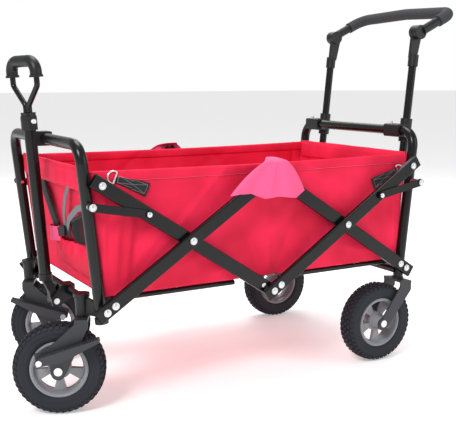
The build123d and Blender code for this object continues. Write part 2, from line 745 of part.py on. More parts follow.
# ---------------------------------------------------------------- pull handle
with BuildPart() as handle_knuckle:
    with BuildSketch(Plane.XZ.offset(-EAR_OUT)):
        with BuildLine():
            Polyline(
                (-CROSS_X + 14, CROSS_Z - 13),
                (-CROSS_X + 14, CROSS_Z + 13),
                (-CROSS_X - 15, CROSS_Z + 13),
                (-HANDLE_X - 12, HANDLE_Z + 6),
                (-HANDLE_X - 9, HANDLE_Z - 11),
                (-HANDLE_X + 9, HANDLE_Z - 12),
                close=True,
            )
        make_face()
        with Locations((-CROSS_X, CROSS_Z)):
            Circle(CROSS_R, mode=Mode.SUBTRACT)
    extrude(amount=2 * EAR_OUT)
    with BuildSketch(Plane.XZ.offset(-EAR_IN)):
        with Locations((-HANDLE_X - 2, HANDLE_Z + 2)):
            Rectangle(32, 80)
    extrude(amount=2 * EAR_IN, mode=Mode.SUBTRACT)
    with BuildSketch(Plane.XZ.offset(-20)):
        with Locations((-HANDLE_X, HANDLE_Z)):
            Circle(PIN_R)
    extrude(amount=40, mode=Mode.SUBTRACT)
keep("handle_knuckle", handle_knuckle.part)

lean = math.radians(PULL_LEAN)
up_tube = Vector(-math.sin(lean), 0, math.cos(lean))
turn = math.radians(GRIP_TURN)
across = Vector(math.sin(turn) * math.cos(lean), -math.cos(turn), math.sin(turn) * math.sin(lean))
tube_foot = Plane(origin=(-PULL_X, 0, PULL_Z), x_dir=across, z_dir=up_tube)
loop_plane = Plane(origin=tube_foot.origin, x_dir=across, z_dir=across.cross(up_tube))

with BuildPart() as handle_clip:
    bar_x = -lean_x(FRAME_TOP)
    clip_back, clip_front = bar_x + TUBE_R + 3.5, bar_x - 28.5
    with BuildSketch(Plane.XZ.offset(-16)):
        with Locations(((clip_back + clip_front) / 2, FRAME_TOP)):
            RectangleRounded(clip_back - clip_front, 32, 4)
        with Locations((bar_x, FRAME_TOP)):
            Circle(TUBE_R, mode=Mode.SUBTRACT)
    extrude(amount=32)
    with BuildSketch(tube_foot):
        Circle(PULL_R + 0.4)
    extrude(amount=PULL_LENGTH, mode=Mode.SUBTRACT)
keep("handle_clip", handle_clip.part)

with BuildPart() as pull_tube:
    with BuildSketch(tube_foot):
        Circle(PULL_R)
        Circle(PULL_INNER_R + 0.3, mode=Mode.SUBTRACT)
    extrude(amount=PULL_LENGTH)
keep("pull_tube", pull_tube.part)

with BuildPart() as pull_end_fitting:
    with BuildSketch(Plane.XZ.offset(-10.7)):
        with BuildLine():
            Polyline(
                (-HANDLE_X + 10, HANDLE_Z + 2),
                (-HANDLE_X + 2, HANDLE_Z + 26),
                (-PULL_X + 9.5, PULL_Z - 12),
                (-PULL_X - 9.5, PULL_Z - 14),
                (-HANDLE_X - 14, HANDLE_Z + 22),
                (-HANDLE_X - 10, HANDLE_Z - 2),
                close=True,
            )
        make_face()
        with Locations((-HANDLE_X, HANDLE_Z)):
            Circle(10.5)
    extrude(amount=21.4)
    with BuildSketch(tube_foot.offset(-16)):
        Circle(PULL_R + 2)
    extrude(amount=16)
    with BuildSketch(tube_foot):
        Circle(PULL_INNER_R + 0.3)
    extrude(amount=22)
    with BuildSketch(Plane.XZ.offset(-12)):
        with Locations((-HANDLE_X, HANDLE_Z)):
            Circle(PIN_R + RUNNING)
    extrude(amount=24, mode=Mode.SUBTRACT)
keep("pull_end_fitting", pull_end_fitting.part)

with BuildPart() as pull_collar:
    with BuildSketch(tube_foot.offset(COLLAR_LOW)):
        Circle(COLLAR_R)
    extrude(amount=COLLAR_HIGH - COLLAR_LOW)
    with BuildSketch(tube_foot.offset(COLLAR_LOW)):
        Circle(PULL_R)
    extrude(amount=PULL_LENGTH - COLLAR_LOW, mode=Mode.SUBTRACT)
    with BuildSketch(tube_foot.offset(COLLAR_LOW)):
        Circle(PULL_INNER_R + 0.3)
    extrude(amount=COLLAR_HIGH, mode=Mode.SUBTRACT)
    button_at = tube_foot.origin + up_tube * (PULL_LENGTH + COLLAR_HIGH) / 2
    with BuildSketch(Plane(origin=button_at, z_dir=across)):
        Circle(BUTTON_R + 0.4)
    extrude(amount=COLLAR_R + 5, mode=Mode.SUBTRACT)
keep("pull_collar", pull_collar.part)

with BuildPart() as pull_button:
    with BuildSketch(Plane(origin=button_at + across * BUTTON_IN, z_dir=across)):
        Circle(BUTTON_R)
    extrude(amount=BUTTON_T)
keep("pull_button", pull_button.part)


def loop_path(bends, radius):
    """Curve through (across, up) points of the loop's plane, bent to the radius."""
    with BuildLine() as path:
        FilletPolyline(*[loop_plane.from_local_coords((w, t, 0)) for w, t in bends], radius=radius)
    return path.line


with BuildPart() as pull_loop:
    with BuildSketch(tube_foot.offset(40)):
        Circle(PULL_INNER_R)
        Circle(PULL_INNER_R - 1.5, mode=Mode.SUBTRACT)
    extrude(amount=COLLAR_HIGH + 3 - 40)
    with BuildSketch(tube_foot.offset(COLLAR_HIGH)):
        RectangleRounded(2 * (NECK_W + ROD_R) + 6, 24, 6)
    extrude(amount=8)
    for hand in (-1, 1):
        rod = loop_path(
            [
                (hand * NECK_W, COLLAR_HIGH + 2),
                (hand * NECK_W, COLLAR_HIGH + 24),
                (hand * ROD_W, GRIP_LOW - 18),
                (hand * ROD_W, GRIP_LOW + 14),
            ],
            12,
        )
        with BuildSketch(Plane(origin=rod @ 0, z_dir=rod % 0)):
            Circle(ROD_R)
        sweep(path=rod)
keep("pull_loop", pull_loop.part)

with BuildPart() as pull_grip:
    top = GRIP_HIGH - GRIP_R
    arch = loop_path([(-ROD_W, GRIP_LOW), (-ROD_W, top), (ROD_W, top), (ROD_W, GRIP_LOW)], GRIP_BEND)
    with BuildSketch(Plane(origin=arch @ 0, z_dir=arch % 0)):
        Circle(GRIP_R)
    sweep(path=arch)
    for hand in (-1, 1):
        with BuildSketch(tube_foot.offset(GRIP_LOW)) as cuff:
            with Locations((hand * ROD_W, 0)):
                Circle(GRIP_CUFF_R)
        extrude(cuff.sketch, amount=GRIP_CUFF)
        with BuildSketch(tube_foot.offset(GRIP_LOW - 1)) as bore:
            with Locations((hand * ROD_W, 0)):
                Circle(ROD_R)
        extrude(bore.sketch, amount=15, mode=Mode.SUBTRACT)
keep("pull_grip", pull_grip.part)


# ---------------------------------------------------------------- push bar
def push_axis_x(z):
    return lean_x(z) + PUSH_GAP


push_up = Vector(TAN_LEAN, 0, 1).normalized()
push_foot = Plane(origin=(push_axis_x(PUSH_LOW), -PUSH_Y, PUSH_LOW), z_dir=push_up)
push_length = (PUSH_HIGH - PUSH_LOW) / push_up.Z

with BuildPart() as push_tubes:
    with BuildSketch(push_foot):
        Circle(PUSH_R)
        Circle(PUSH_R - 1.2, mode=Mode.SUBTRACT)
    extrude(amount=push_length)
    mirror(about=Plane.XZ)
keep("push_tubes", push_tubes.part)

with BuildPart() as push_clamps:
    top_x = lean_x(FRAME_TOP)
    for y in (-PUSH_Y, PUSH_Y):
        with BuildSketch(Plane.XZ.offset(-y - BUTTON_Y - 9)):
            with Locations((top_x, FRAME_TOP)):
                RectangleRounded(33, 33, 6)
        extrude(amount=BUTTON_Y + 26)
        with BuildSketch(Plane(origin=(push_axis_x(FRAME_TOP), y, FRAME_TOP), z_dir=push_up).offset(-30)):
            Circle(PUSH_R + 5)
        extrude(amount=60)
        with BuildSketch(Plane(origin=(push_axis_x(FRAME_TOP), y, FRAME_TOP), z_dir=push_up).offset(-40)):
            Circle(PUSH_R + 0.35)
        extrude(amount=80, mode=Mode.SUBTRACT)
        with BuildSketch(Plane.XY.offset(FRAME_TOP + 13.5)):
            with Locations((top_x, y + BUTTON_Y)):
                Circle(BUTTON_R + 0.4)
        extrude(amount=10, mode=Mode.SUBTRACT)
    with BuildSketch(Plane.XZ.offset(-FRAME_Y)):
        with Locations((top_x, FRAME_TOP)):
            Circle(TUBE_R)
    extrude(amount=2 * FRAME_Y, mode=Mode.SUBTRACT)
keep("push_clamps", push_clamps.part)

for name, side in (("near", -1), ("far", 1)):
    with BuildPart() as push_button:
        with BuildSketch(Plane.XY.offset(FRAME_TOP + 16.3)):
            with Locations((top_x, side * PUSH_Y + BUTTON_Y)):
                Circle(BUTTON_R)
        extrude(amount=7)
    keep(f"push_button_{name}", push_button.part)

with BuildPart() as push_sleeves:
    sleeve = push_foot.offset(push_length - 16)
    with BuildSketch(sleeve):
        Circle(PUSH_R + 3)
    extrude(amount=30)
    with BuildSketch(sleeve):
        Circle(PUSH_R)
    extrude(amount=16, mode=Mode.SUBTRACT)
    with BuildSketch(Plane.XZ.offset(PUSH_Y - 9)):
        with BuildLine():
            Polyline(
                (push_axis_x(PUSH_HIGH) - 10, PUSH_HIGH + 6),
                (KNUCKLE_X - 15, KNUCKLE_Z - 8),
                (KNUCKLE_X + 16, KNUCKLE_Z - 6),
                (push_axis_x(PUSH_HIGH) + 13, PUSH_HIGH + 6),
                close=True,
            )
        make_face()
    extrude(amount=8.6)
    side_disc(KNUCKLE_X, KNUCKLE_Z, PUSH_Y - 13, PUSH_Y - 0.4, KNUCKLE_R)
    side_disc(KNUCKLE_X, KNUCKLE_Z, PUSH_Y - 13, PUSH_Y + 13, PIN_R)
    mirror(about=Plane.XZ)
keep("push_sleeves", push_sleeves.part)

elbow = Vector(ELBOW_X - KNUCKLE_X, 0, ELBOW_Z - KNUCKLE_Z)
bar_end_y = PUSH_Y + BAR_R + 0.8


def grip_corners(start):
    """Corners of the push bar's bend, from start along its near arm round to the far arm."""
    near = Vector(KNUCKLE_X, -bar_end_y, KNUCKLE_Z) + elbow.normalized() * start
    return (
        near,
        (BAR_X, -bar_end_y, BAR_Z),
        (BAR_X + 6, 0, BAR_Z + 7),
        (BAR_X, bar_end_y, BAR_Z),
        Vector(near.X, bar_end_y, near.Z),
    )


def bent_tube(start, outer, inner):
    with BuildPart() as tube:
        with BuildLine() as path:
            FilletPolyline(*grip_corners(start), radius=34)
        with BuildSketch(Plane(origin=path.line @ 0, z_dir=path.line % 0)):
            Circle(outer)
            Circle(inner, mode=Mode.SUBTRACT)
        sweep()
    return tube.part


keep("push_grip_tube", bent_tube(30, BAR_R, BAR_R - 1.2))
keep("push_grip_foam", bent_tube(elbow.length + 1, FOAM_R, BAR_R))

with BuildPart() as push_connectors:
    arm = Plane(origin=(KNUCKLE_X, -bar_end_y, KNUCKLE_Z), z_dir=elbow.normalized())
    with BuildSketch(arm.offset(8)):
        Circle(12)
    extrude(amount=elbow.length - 8)
    with BuildSketch(Plane.XZ.offset(PUSH_Y - 10)):
        with Locations((KNUCKLE_X, KNUCKLE_Z)):
            Circle(2 * elbow.length)
    extrude(amount=10.4, mode=Mode.SUBTRACT)
    side_disc(KNUCKLE_X, KNUCKLE_Z, PUSH_Y + 0.4, PUSH_Y + 15, KNUCKLE_R)
    side_disc(KNUCKLE_X, KNUCKLE_Z, PUSH_Y - 2, PUSH_Y + 13.5, PIN_R + RUNNING, Mode.SUBTRACT)
    mirror(about=Plane.XZ)
    add(pieces["push_grip_tube"], mode=Mode.SUBTRACT)
keep("push_connectors", push_connectors.part)


# ---------------------------------------------------------------- write every piece
lowest = Vector(*(min(getattr(p.bounding_box().min, a) for p in pieces.values()) for a in "XYZ"))
highest = Vector(*(max(getattr(p.bounding_box().max, a) for p in pieces.values()) for a in "XYZ"))
SHIFT = Vector(-(lowest.X + highest.X) / 2, -(lowest.Y + highest.Y) / 2, -lowest.Z)

os.makedirs("parts", exist_ok=True)
for name, part in pieces.items():
    placed = part.moved(Location(SHIFT))
    placed.label = name
    export_step(placed, f"parts/{name}.step")
print(len(pieces), "pieces, origin moved by", SHIFT)
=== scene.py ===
import json
import math

import bpy
import numpy as np
from mathutils import Matrix, Vector, noise


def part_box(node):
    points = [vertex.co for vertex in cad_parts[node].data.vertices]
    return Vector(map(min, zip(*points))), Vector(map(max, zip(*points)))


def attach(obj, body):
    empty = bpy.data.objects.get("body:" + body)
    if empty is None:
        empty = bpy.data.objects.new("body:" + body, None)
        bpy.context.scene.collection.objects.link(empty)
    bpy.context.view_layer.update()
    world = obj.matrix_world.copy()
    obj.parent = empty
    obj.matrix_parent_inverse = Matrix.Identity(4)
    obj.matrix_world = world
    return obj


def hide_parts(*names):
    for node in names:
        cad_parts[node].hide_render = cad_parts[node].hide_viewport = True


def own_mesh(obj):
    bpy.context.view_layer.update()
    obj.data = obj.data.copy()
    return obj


bl_info = {
    "name": "Folding camp wagon look",
    "version": (1, 0, 0),
    "blender": (4, 5, 0),
    "location": "View3D > Sidebar > Camp wagon",
    "description": "Cloth, tyres, fittings and studio stage around the packed camp wagon frame",
    "category": "Object",
}

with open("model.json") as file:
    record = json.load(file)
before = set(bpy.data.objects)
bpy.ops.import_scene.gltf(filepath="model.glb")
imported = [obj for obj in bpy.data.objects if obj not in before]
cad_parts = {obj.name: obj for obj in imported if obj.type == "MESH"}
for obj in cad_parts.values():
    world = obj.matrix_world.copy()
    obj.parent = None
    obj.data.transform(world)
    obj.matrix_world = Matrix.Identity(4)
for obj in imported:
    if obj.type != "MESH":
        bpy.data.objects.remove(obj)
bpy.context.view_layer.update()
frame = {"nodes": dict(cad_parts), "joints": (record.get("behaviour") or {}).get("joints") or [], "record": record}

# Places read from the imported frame, metres in the row frame.
FLOOR_LOW, FLOOR_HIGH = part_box("basket_floor")
MID_X = (FLOOR_LOW.x + FLOOR_HIGH.x) / 2
CLOTH = 0.0014  # metres, the cloth's own thickness
SIDE_STITCHES = 150  # in the one row that holds a long side's hem
STITCH_ROW = 0.918  # share of the side's height where that row runs


# ------------------------------------------------------------------ small helpers
def wheel_circle(place, radius, y, count):
    """Points of a circle around a wheel's axle, in the wheel's place."""
    turns = (2 * math.pi * k / count for k in range(count))
    return [place @ Vector((radius * math.cos(t), y, radius * math.sin(t))) for t in turns]


def linear(hex_colour):
    """Linear RGBA from an sRGB hex colour."""
    out = []
    for i in (0, 2, 4):
        c = int(hex_colour[i : i + 2], 16) / 255
        out.append(c / 12.92 if c <= 0.04045 else ((c + 0.055) / 1.055) ** 2.4)
    return (*out, 1.0)


def new_material(name, hex_colour, roughness, metallic=0.0, specular=0.5):
    """A Principled material with plain values and no textures yet."""
    mat = bpy.data.materials.new(name)
    mat.use_nodes = True
    shader = mat.node_tree.nodes["Principled BSDF"]
    shader.inputs["Base Color"].default_value = linear(hex_colour)
    shader.inputs["Roughness"].default_value = roughness
    shader.inputs["Metallic"].default_value = metallic
    shader.inputs["Specular IOR Level"].default_value = specular
    return mat


def add_node(mat, kind, values=None, links=None):
    """Adds a shader node; values sets its sockets and links joins them to other nodes' outputs."""
    node = mat.node_tree.nodes.new(kind)
    for key, value in (values or {}).items():
        if hasattr(node, key):
            setattr(node, key, value)
        else:
            node.inputs[key].default_value = value
    for key, source in (links or {}).items():
        mat.node_tree.links.new(source, node.inputs[key])
    return node


def object_coordinates(mat):
    return add_node(mat, "ShaderNodeTexCoord").outputs["Object"]


def add_bump(mat, height, strength, distance):
    """Joins a height to the shader's normal; distance is metres of relief."""
    bump = add_node(
        mat,
        "ShaderNodeBump",
        {"Strength": strength, "Distance": distance},
        {"Height": height},
    )
    shader = mat.node_tree.nodes["Principled BSDF"]
    mat.node_tree.links.new(bump.outputs["Normal"], shader.inputs["Normal"])


def noise_bump(mat, size, strength, distance):
    """Fine uneven surface whose bumps are about size metres across."""
    grain = add_node(
        mat,
        "ShaderNodeTexNoise",
        {"Scale": 1 / size, "Detail": 3.0},
        {"Vector": object_coordinates(mat)},
    )
    add_bump(mat, grain.outputs["Fac"], strength, distance)


def tint_by_noise(mat, light_hex, dark_hex, size, low=0.35, high=0.65):
    """Lets the base colour drift between two colours over patches of about size metres."""
    patches = add_node(
        mat,
        "ShaderNodeTexNoise",
        {"Scale": 1 / size, "Detail": 2.0},
        {"Vector": object_coordinates(mat)},
    )
    spread = add_node(
        mat,
        "ShaderNodeMapRange",
        {"From Min": low, "From Max": high},
        {"Value": patches.outputs["Fac"]},
    )
    mix = add_node(mat, "ShaderNodeMix", {"data_type": "RGBA"})
    mat.node_tree.links.new(spread.outputs["Result"], mix.inputs["Factor"])
    mix.inputs[6].default_value = linear(dark_hex)
    mix.inputs[7].default_value = linear(light_hex)
    shader = mat.node_tree.nodes["Principled BSDF"]
    mat.node_tree.links.new(mix.outputs[2], shader.inputs["Base Color"])


def woven(mat, thread, strength):
    """Crossed threads of the given width in metres, over Object coordinates."""
    coords = object_coordinates(mat)
    waves = []
    for direction in ("X", "Z"):
        waves.append(
            add_node(
                mat,
                "ShaderNodeTexWave",
                {"bands_direction": direction, "Scale": 1 / (thread * 20)},
                {"Vector": coords},
            )
        )
    weave = add_node(
        mat,
        "ShaderNodeMath",
        {"operation": "MULTIPLY"},
    )
    for i, wave in enumerate(waves):
        mat.node_tree.links.new(wave.outputs["Fac"], weave.inputs[i])
    add_bump(mat, weave.outputs["Value"], strength, thread * 0.2)


def build_materials():
    """Every material of the wagon, by the record's slot or by its own name."""
    m = {}
    # Black powder coat: nearly black with a satin sheen that draws bright lines along the tubes.
    m["frame_black"] = new_material("powder_coat_black", "090a0a", 0.25, specular=0.32)
    noise_bump(m["frame_black"], 0.0015, 0.08, 0.0002)
    # Zinc-plated steel: bright rivet heads and bolts.
    m["rivet_steel"] = new_material("zinc_plated_steel", "d4d6d8", 0.28, metallic=1.0)
    # Moulded nylon: charcoal, duller than the tubes.
    m["charcoal_plastic"] = new_material("nylon_charcoal", "141517", 0.42, specular=0.35)
    noise_bump(m["charcoal_plastic"], 0.002, 0.12, 0.0003)
    # Glass-filled plastic of forks and pedals, mid grey.
    m["caster_grey"] = new_material("filled_plastic_grey", "2e2f34", 0.42, specular=0.4)
    noise_bump(m["caster_grey"], 0.0025, 0.15, 0.0004)
    # Soft moulded rubber, blue-black and dull.
    m["tyre_rubber"] = new_material("tyre_rubber", "1d1f26", 0.7, specular=0.35)
    noise_bump(m["tyre_rubber"], 0.002, 0.25, 0.0005)
    # Rim plastic, lighter and glossier than the forks.
    m["rim_grey"] = new_material("rim_plastic_grey", "85868b", 0.36)
    # Coated polyester canvas: saturated crimson that shifts a little with the folds.
    m["canvas_red"] = new_material("polyester_canvas_crimson", "d81b40", 0.72, specular=0.22)
    tint_by_noise(m["canvas_red"], "e52149", "cc183a", 0.11)
    woven(m["canvas_red"], 0.0011, 0.35)
    # Painted light: a lighter copy of the side canvas for the loose apex covers and the front tab, drawn as if
    # they took more light than the sides.
    m["canvas_painted_light"] = new_material("polyester_canvas_painted_light", "f25586", 0.7, specular=0.3)
    woven(m["canvas_painted_light"], 0.0011, 0.35)
    # Polyester webbing, ribbed and nearly black.
    m["webbing_black"] = new_material("polyester_webbing_black", "1a1a1d", 0.8)
    woven(m["webbing_black"], 0.0018, 0.6)
    # Grey webbing of the front straps.
    m["webbing_grey"] = new_material("polyester_webbing_grey", "6d6d72", 0.8)
    woven(m["webbing_grey"], 0.0018, 0.6)
    # Sewing thread, a paler red than the canvas.
    m["thread_red"] = new_material("thread_red", "f0668a", 0.7)
    m["thread_grey"] = new_material("thread_grey", "8b8b90", 0.7)
    # Foam sleeve of the push bar, dark and soft.
    m["grip_foam"] = new_material("foam_rubber_dark", "333438", 0.9)
    noise_bump(m["grip_foam"], 0.003, 0.3, 0.0006)
    m["button_white"] = new_material("button_white", "e6e6e4", 0.35)
    # Open net of the bottle pocket: black threads with holes between them.
    m["net_black"] = new_material("polyester_net_black", "151517", 0.8)
    # Painted studio floor, pale and even.
    m["studio_floor"] = new_material("studio_floor", "f4f4f4", 0.9)
    glow = m["studio_floor"].node_tree.nodes["Principled BSDF"]
    glow.inputs["Emission Color"].default_value = (1, 1, 1, 1)
    glow.inputs["Emission Strength"].default_value = 0.32
    return m


MATERIALS = {}


def mesh_object(name, points, faces, material, smooth=True):
    mesh = bpy.data.meshes.new(name)
    mesh.from_pydata([tuple(p) for p in points], [], faces)
    mesh.validate()
    if smooth:
        mesh.shade_smooth()
    obj = bpy.data.objects.new(name, mesh)
    bpy.context.scene.collection.objects.link(obj)
    obj.data.materials.append(MATERIALS[material])
    return obj


def settle(obj):
    """Bakes an object's modifiers into a plain mesh with its own material."""
    graph = bpy.context.evaluated_depsgraph_get()
    baked = bpy.data.meshes.new_from_object(obj.evaluated_get(graph))
    obj.modifiers.clear()
    obj.data = baked
    return obj


def surface(name, columns, rows, place, material, thickness=CLOTH, close_u=False):
    """A cloth of rows by columns cells; place(u, v) gives each point for u and v from 0 to 1."""
    last = columns if close_u else columns + 1
    points = [
        place(i / columns, j / rows) for j in range(rows + 1) for i in range(last)
    ]
    faces = []
    for j in range(rows):
        for i in range(columns):
            a, b = j * last + i, j * last + (i + 1) % last
            faces.append((a, b, b + last, a + last))
    obj = mesh_object(name, points, faces, material)
    solid = obj.modifiers.new("thickness", "SOLIDIFY")
    solid.thickness = thickness
    solid.offset = 0.0
    return settle(obj)


def tube_along(name, points, radius, material, sides=10, closed=False, flat=1.0):
    """A round or flattened bar that follows points; flat under 1 squeezes it across its own binormal."""
    path = [Vector(p) for p in points]
    count = len(path)
    rings, up = [], Vector((0, 0, 1))
    for i, p in enumerate(path):
        before = path[i - 1] if i or closed else p
        after = path[(i + 1) % count] if i < count - 1 or closed else p
        along = (after - before).normalized()
        if abs(along.dot(up)) > 0.95:
            up = Vector((0, 1, 0))
        side = along.cross(up).normalized()
        up = side.cross(along).normalized()
        for k in range(sides):
            a = 2 * math.pi * k / sides
            rings.append(p + side * (radius * math.cos(a)) + up * (radius * flat * math.sin(a)))
    faces = []
    for i in range(count if closed else count - 1):
        for k in range(sides):
            a, b = i * sides + k, i * sides + (k + 1) % sides
            c, d = ((i + 1) % count) * sides + (k + 1) % sides, ((i + 1) % count) * sides + k
            faces.append((a, b, c, d))
    if not closed:
        faces.append(tuple(range(sides - 1, -1, -1)))
        faces.append(tuple(range((count - 1) * sides, count * sides)))
    return mesh_object(name, rings, faces, material)


def box_mesh(name, low, high, material, bevel=0.0008):
    x0, y0, z0 = low
    x1, y1, z1 = high
    points = [(x, y, z) for z in (z0, z1) for y in (y0, y1) for x in (x0, x1)]
    faces = [(0, 2, 3, 1), (4, 5, 7, 6), (0, 1, 5, 4), (2, 6, 7, 3), (0, 4, 6, 2), (1, 3, 7, 5)]
    obj = mesh_object(name, points, faces, material, smooth=False)
    soft = obj.modifiers.new("edges", "BEVEL")
    soft.width, soft.segments = bevel, 2
    return settle(obj)


def join(name, objects):
    """One object from several plain meshes, keeping their materials."""
    points, faces, slots, mats = [], [], [], []
    for obj in objects:
        start = len(points)
        points += [obj.matrix_world @ v.co for v in obj.data.vertices]
        for mat in obj.data.materials:
            if mat not in mats:
                mats.append(mat)
        for p in obj.data.polygons:
            faces.append([start + i for i in p.vertices])
            slots.append((mats.index(obj.data.materials[p.material_index]), p.use_smooth))
        bpy.data.objects.remove(obj)
    mesh = bpy.data.meshes.new(name)
    mesh.from_pydata([tuple(p) for p in points], [], faces)
    for mat in mats:
        mesh.materials.append(mat)
    for p, (slot, smooth) in zip(mesh.polygons, slots):
        p.material_index, p.use_smooth = slot, smooth
    obj = bpy.data.objects.new(name, mesh)
    bpy.context.scene.collection.objects.link(obj)
    return obj


# ------------------------------------------------------------------ geometry nodes for repeats
def repeat_group():
    """Node group that stands a copy of one object on every point of the carrier mesh.

    The points' turn attribute is each copy's rotation. The copies are real mesh with the material set.
    """
    group = bpy.data.node_groups.new("stand_on_points", "GeometryNodeTree")
    face = group.interface
    face.new_socket("Points", in_out="INPUT", socket_type="NodeSocketGeometry")
    face.new_socket("Piece", in_out="INPUT", socket_type="NodeSocketObject")
    face.new_socket("Size", in_out="INPUT", socket_type="NodeSocketFloat")
    face.new_socket("Seed", in_out="INPUT", socket_type="NodeSocketInt")
    face.new_socket("Material", in_out="INPUT", socket_type="NodeSocketMaterial")
    face.new_socket("Copies", in_out="OUTPUT", socket_type="NodeSocketGeometry")
    nodes, links = group.nodes, group.links
    start, end = nodes.new("NodeGroupInput"), nodes.new("NodeGroupOutput")
    piece = nodes.new("GeometryNodeObjectInfo")
    turn = nodes.new("GeometryNodeInputNamedAttribute")
    turn.data_type = "FLOAT_VECTOR"
    turn.inputs["Name"].default_value = "turn"
    wobble = nodes.new("FunctionNodeRandomValue")
    wobble.data_type = "FLOAT"
    wobble.inputs[2].default_value = 0.97
    wobble.inputs[3].default_value = 1.03
    size = nodes.new("ShaderNodeMath")
    size.operation = "MULTIPLY"
    copies = nodes.new("GeometryNodeInstanceOnPoints")
    real = nodes.new("GeometryNodeRealizeInstances")
    paint = nodes.new("GeometryNodeSetMaterial")
    links.new(start.outputs["Piece"], piece.inputs["Object"])
    links.new(start.outputs["Seed"], wobble.inputs["Seed"])
    links.new(start.outputs["Size"], size.inputs[0])
    links.new(wobble.outputs[1], size.inputs[1])
    links.new(start.outputs["Points"], copies.inputs["Points"])
    links.new(piece.outputs["Geometry"], copies.inputs["Instance"])
    links.new(turn.outputs["Attribute"], copies.inputs["Rotation"])
    links.new(size.outputs[0], copies.inputs["Scale"])
    links.new(copies.outputs["Instances"], real.inputs["Geometry"])
    links.new(real.outputs["Geometry"], paint.inputs["Geometry"])
    links.new(start.outputs["Material"], paint.inputs["Material"])
    links.new(paint.outputs["Geometry"], end.inputs["Copies"])
    return group


def stand_copies(name, piece, places, turns, material, size=1.0, seed=7):
    """Copies of piece at places with euler turns, made by the geometry nodes group and then baked."""
    group = bpy.data.node_groups.get("stand_on_points") or repeat_group()
    carrier = mesh_object(name, places, [], material)
    attribute = carrier.data.attributes.new("turn", "FLOAT_VECTOR", "POINT")
    attribute.data.foreach_set("vector", np.array(turns, np.float32).ravel())
    modifier = carrier.modifiers.new("copies", "NODES")
    modifier.node_group = group
    values = {"Piece": piece, "Size": size, "Seed": seed, "Material": MATERIALS[material]}
    for item in group.interface.items_tree:
        if item.item_type == "SOCKET" and item.in_out == "INPUT" and item.name in values:
            modifier[item.identifier] = values[item.name]
    settle(carrier)
    bpy.data.objects.remove(piece)
    return carrier


def dome(name, radius, height, material):
    """A rivet's domed head that rises along +Z from its rim."""
    points, faces, sides, rows = [], [], 20, 5
    for j in range(rows):
        a = math.pi / 2 * j / rows
        for k in range(sides):
            b = 2 * math.pi * k / sides
            r = radius * math.cos(a)
            points.append((r * math.cos(b), r * math.sin(b), height * math.sin(a)))
    points.append((0, 0, height))
    for j in range(rows - 1):
        for k in range(sides):
            n = (k + 1) % sides
            faces.append((j * sides + k, j * sides + n, (j + 1) * sides + n, (j + 1) * sides + k))
    top = (rows - 1) * sides
    faces += [(top + k, top + (k + 1) % sides, len(points) - 1) for k in range(sides)]
    faces.append(tuple(range(sides - 1, -1, -1)))
    return mesh_object(name, points, faces, material)


def islands(node):
    """Each connected part of a CAD node as (lowest corner, highest corner)."""
    mesh = frame["nodes"][node].data
    merged = {}
    keys = [tuple(round(c, 5) for c in v.co) for v in mesh.vertices]
    owner = {}

    def root(k):
        while owner.setdefault(k, k) != k:
            owner[k] = owner[owner[k]]
            k = owner[k]
        return k

    for p in mesh.polygons:
        ks = [keys[i] for i in p.vertices]
        for k in ks[1:]:
            owner[root(k)] = root(ks[0])
    for k in owner:
        merged.setdefault(root(k), []).append(k)
    out = []
    for group in merged.values():
        co = np.array(group)
        out.append((Vector(co.min(0)), Vector(co.max(0))))
    return sorted(out, key=lambda b: tuple(b[0]))


# ------------------------------------------------------------------ cloth shapes
def ridge(x, z, start, end, width, height):
    """Height of a soft crease between two points of a panel, fading at both ends."""
    sx, sz = start
    ex, ez = end
    dx, dz = ex - sx, ez - sz
    length2 = dx * dx + dz * dz
    t = ((x - sx) * dx + (z - sz) * dz) / length2
    if t < -0.15 or t > 1.15:
        return 0.0
    off = ((x - sx) * dz - (z - sz) * dx) / math.sqrt(length2)
    fade = max(0.0, 1 - abs(2 * t - 1) ** 3 / 1.6)
    return height * fade * math.exp(-abs(off / width) ** 1.25)


# Creases of a long side: start and end (x, z) from the middle plane and the ground in metres, width, height.
SIDE_CREASES = (
    ((-0.350, 0.262), (-0.105, 0.520), 0.010, 0.0050),
    ((0.350, 0.262), (0.105, 0.520), 0.010, 0.0050),
    ((-0.352, 0.262), (-0.330, 0.450), 0.009, 0.0045),
    ((-0.372, 0.262), (-0.366, 0.470), 0.007, 0.0045),
    ((-0.300, 0.385), (-0.170, 0.475), 0.016, 0.0055),
    ((-0.365, 0.275), (-0.235, 0.420), 0.018, 0.0050),
    ((-0.385, 0.265), (-0.150, 0.330), 0.020, 0.0045),
    ((-0.378, 0.290), (-0.345, 0.500), 0.011, 0.0050),
    ((-0.398, 0.300), (-0.390, 0.505), 0.008, 0.0045),
    ((-0.340, 0.290), (-0.300, 0.470), 0.012, -0.0040),
    ((-0.210, 0.262), (-0.040, 0.300), 0.018, 0.0035),
    ((0.300, 0.385), (0.170, 0.475), 0.016, 0.0055),
    ((0.365, 0.275), (0.225, 0.430), 0.018, 0.0050),
    ((0.385, 0.265), (0.150, 0.325), 0.020, 0.0045),
    ((0.385, 0.290), (0.375, 0.500), 0.011, 0.0050),
    ((0.012, 0.235), (0.008, 0.330), 0.009, 0.0050),
    ((-0.020, 0.265), (-0.070, 0.420), 0.016, -0.0040),
    ((0.030, 0.265), (0.095, 0.420), 0.016, -0.0040),
    ((0.200, 0.262), (0.050, 0.300), 0.018, 0.0035),
    ((-0.150, 0.500), (-0.030, 0.440), 0.020, 0.0035),
    ((0.150, 0.500), (0.030, 0.440), 0.020, 0.0035),
)


MOST_BULGE = 0.0125  # metres, so that the cloth stays behind the bars' rivets


